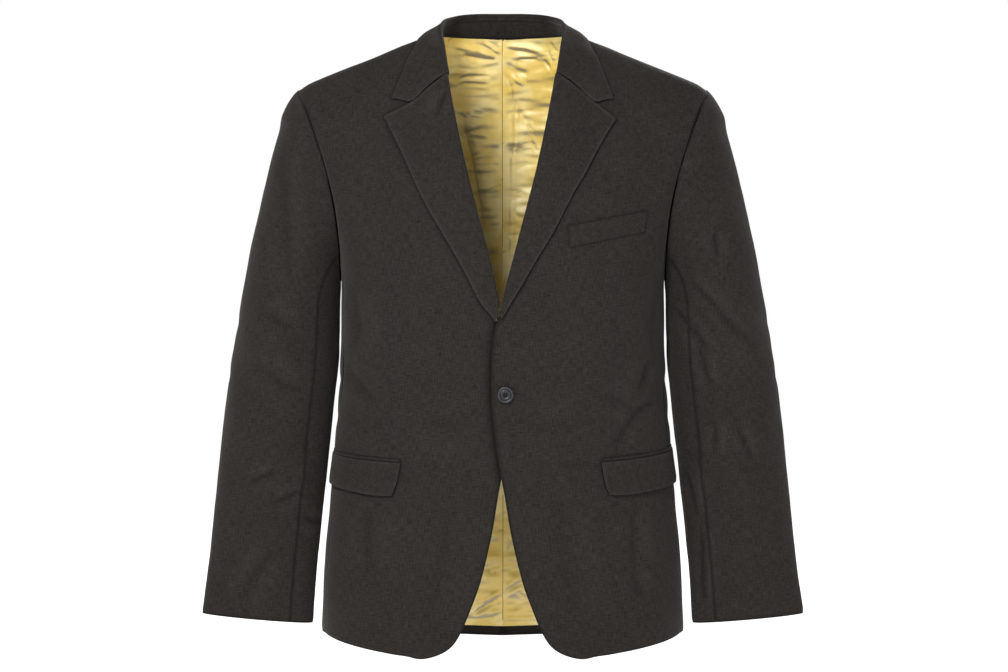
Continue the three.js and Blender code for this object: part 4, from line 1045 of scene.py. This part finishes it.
def buttonPlace():
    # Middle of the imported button's back and the way that it faces.
    mesh = frame["nodes"]["front_button"].data
    points = np.array([tuple(vert.co) for vert in mesh.vertices])
    middle = points.mean(axis=0)
    facing = Vector(np.linalg.svd(points - middle)[2][2])
    facing = -facing if facing.y > 0 else facing
    low = min((Vector(point) - Vector(middle)).dot(facing) for point in points)
    return Vector(middle) + facing * low, facing


def makeButton():
    # Modelled in millimetres, and scaled when it is stood in its place.
    bpy.ops.object.select_all(action="DESELECT")
    bpy.ops.mesh.primitive_plane_add(size=1)
    button = bpy.context.object
    button.name = "jacket_button"
    bpy.ops.object.mode_set(mode="EDIT")
    bpy.ops.mesh.select_mode(type="VERT")
    bpy.ops.mesh.select_all(action="SELECT")
    bpy.ops.mesh.merge(type="CENTER")
    profile = buttonShape["profile"]
    bpy.ops.transform.translate(value=(profile[0][0], 0, profile[0][1]))
    for before, after in zip(profile, profile[1:]):
        step = (after[0] - before[0], 0, after[1] - before[1])
        bpy.ops.mesh.extrude_vertices_move(TRANSFORM_OT_translate={"value": step})
    bpy.ops.mesh.select_all(action="SELECT")
    bpy.ops.mesh.spin(steps=buttonShape["steps"], angle=math.tau, center=(0, 0, 0), axis=(0, 0, 1))
    bpy.ops.mesh.select_all(action="SELECT")
    bpy.ops.mesh.remove_doubles(threshold=0.01)
    bpy.ops.mesh.fill_holes(sides=0)
    bpy.ops.mesh.normals_make_consistent(inside=False)
    bpy.ops.object.mode_set(mode="OBJECT")
    for i in range(4):
        turn = math.tau * (i + 0.5) / 4
        reach = buttonShape["holeCircle"]
        bpy.ops.mesh.primitive_cylinder_add(
            vertices=20, radius=buttonShape["holeRadius"], depth=8,
            location=(reach * math.cos(turn), reach * math.sin(turn), 1.5))
        drill = bpy.context.object
        hole = button.modifiers.new("hole", "BOOLEAN")
        hole.operation = "DIFFERENCE"
        hole.object = drill
        applyModifiers(button)
        bpy.data.objects.remove(drill)
    points = readPoints(button)
    storeValues(button, "ring", np.linalg.norm(points[:, :2], axis=1) / 10)
    back, facing = buttonPlace()
    standing = Matrix.Translation(back) @ facing.to_track_quat("Z", "Y").to_matrix().to_4x4()
    button.matrix_world = standing @ Matrix.Scale(mm, 4)
    selectOnly(button)
    bpy.ops.object.transform_apply(location=True, rotation=True, scale=True)
    bpy.ops.object.shade_smooth_by_angle(angle=math.radians(35))
    button.data.materials.clear()
    button.data.materials.append(makeButtonMaterial())
    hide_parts("front_button")
    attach(button, "root")
    reach = buttonShape["holeCircle"] * 0.72
    for i, turns in enumerate(((45, 225), (135, 315))):
        ends = [(reach * math.cos(math.radians(t)), reach * math.sin(math.radians(t))) for t in turns]
        bow = [(ends[0], 1.6), (ends[0], 2.6), ((0, 0), 3.05 + 0.3 * i), (ends[1], 2.6), (ends[1], 1.6)]
        loop = [standing @ (Vector((x, y, z)) * mm) for (x, y), z in bow]
        threadThrough(f"button_thread_{i + 1}", loop, buttonShape["threadRadius"], holeThread, "front_button")


makeButton()
print("button is sewn on")

# World and floor finish
world = bpy.data.worlds.new("studioWorld")
bpy.context.scene.world = world
world.use_nodes = True
sky = world.node_tree
sky.nodes.clear()
path = addNode(sky, "ShaderNodeLightPath", -400, 200)
strength = addNode(sky, "ShaderNodeMix", -200, 0, data_type="FLOAT")
strength.inputs[2].default_value = studio["ambient"]
strength.inputs[3].default_value = studio["backdrop"]
paper = setInputs(addNode(sky, "ShaderNodeBackground", 0, 0), Color=(1, 1, 1, 1))
joinNodes(
    sky, (path.outputs["Is Camera Ray"], strength.inputs[0]), (strength.outputs[0], paper.inputs["Strength"]),
    (paper.outputs[0], addNode(sky, "ShaderNodeOutputWorld", 200, 0).inputs["Surface"]),
)
floorPaint, floorTree, floorShader = newMaterial("palePaper")
setInputs(floorShader, Base_Color=(*studio["floorColor"], 1), Roughness=0.95, Emission_Color=(1, 1, 1, 1),
          Emission_Strength=studio["glow"])
floor.data.materials.append(floorPaint)
bpy.context.scene.view_settings.view_transform = "Standard"
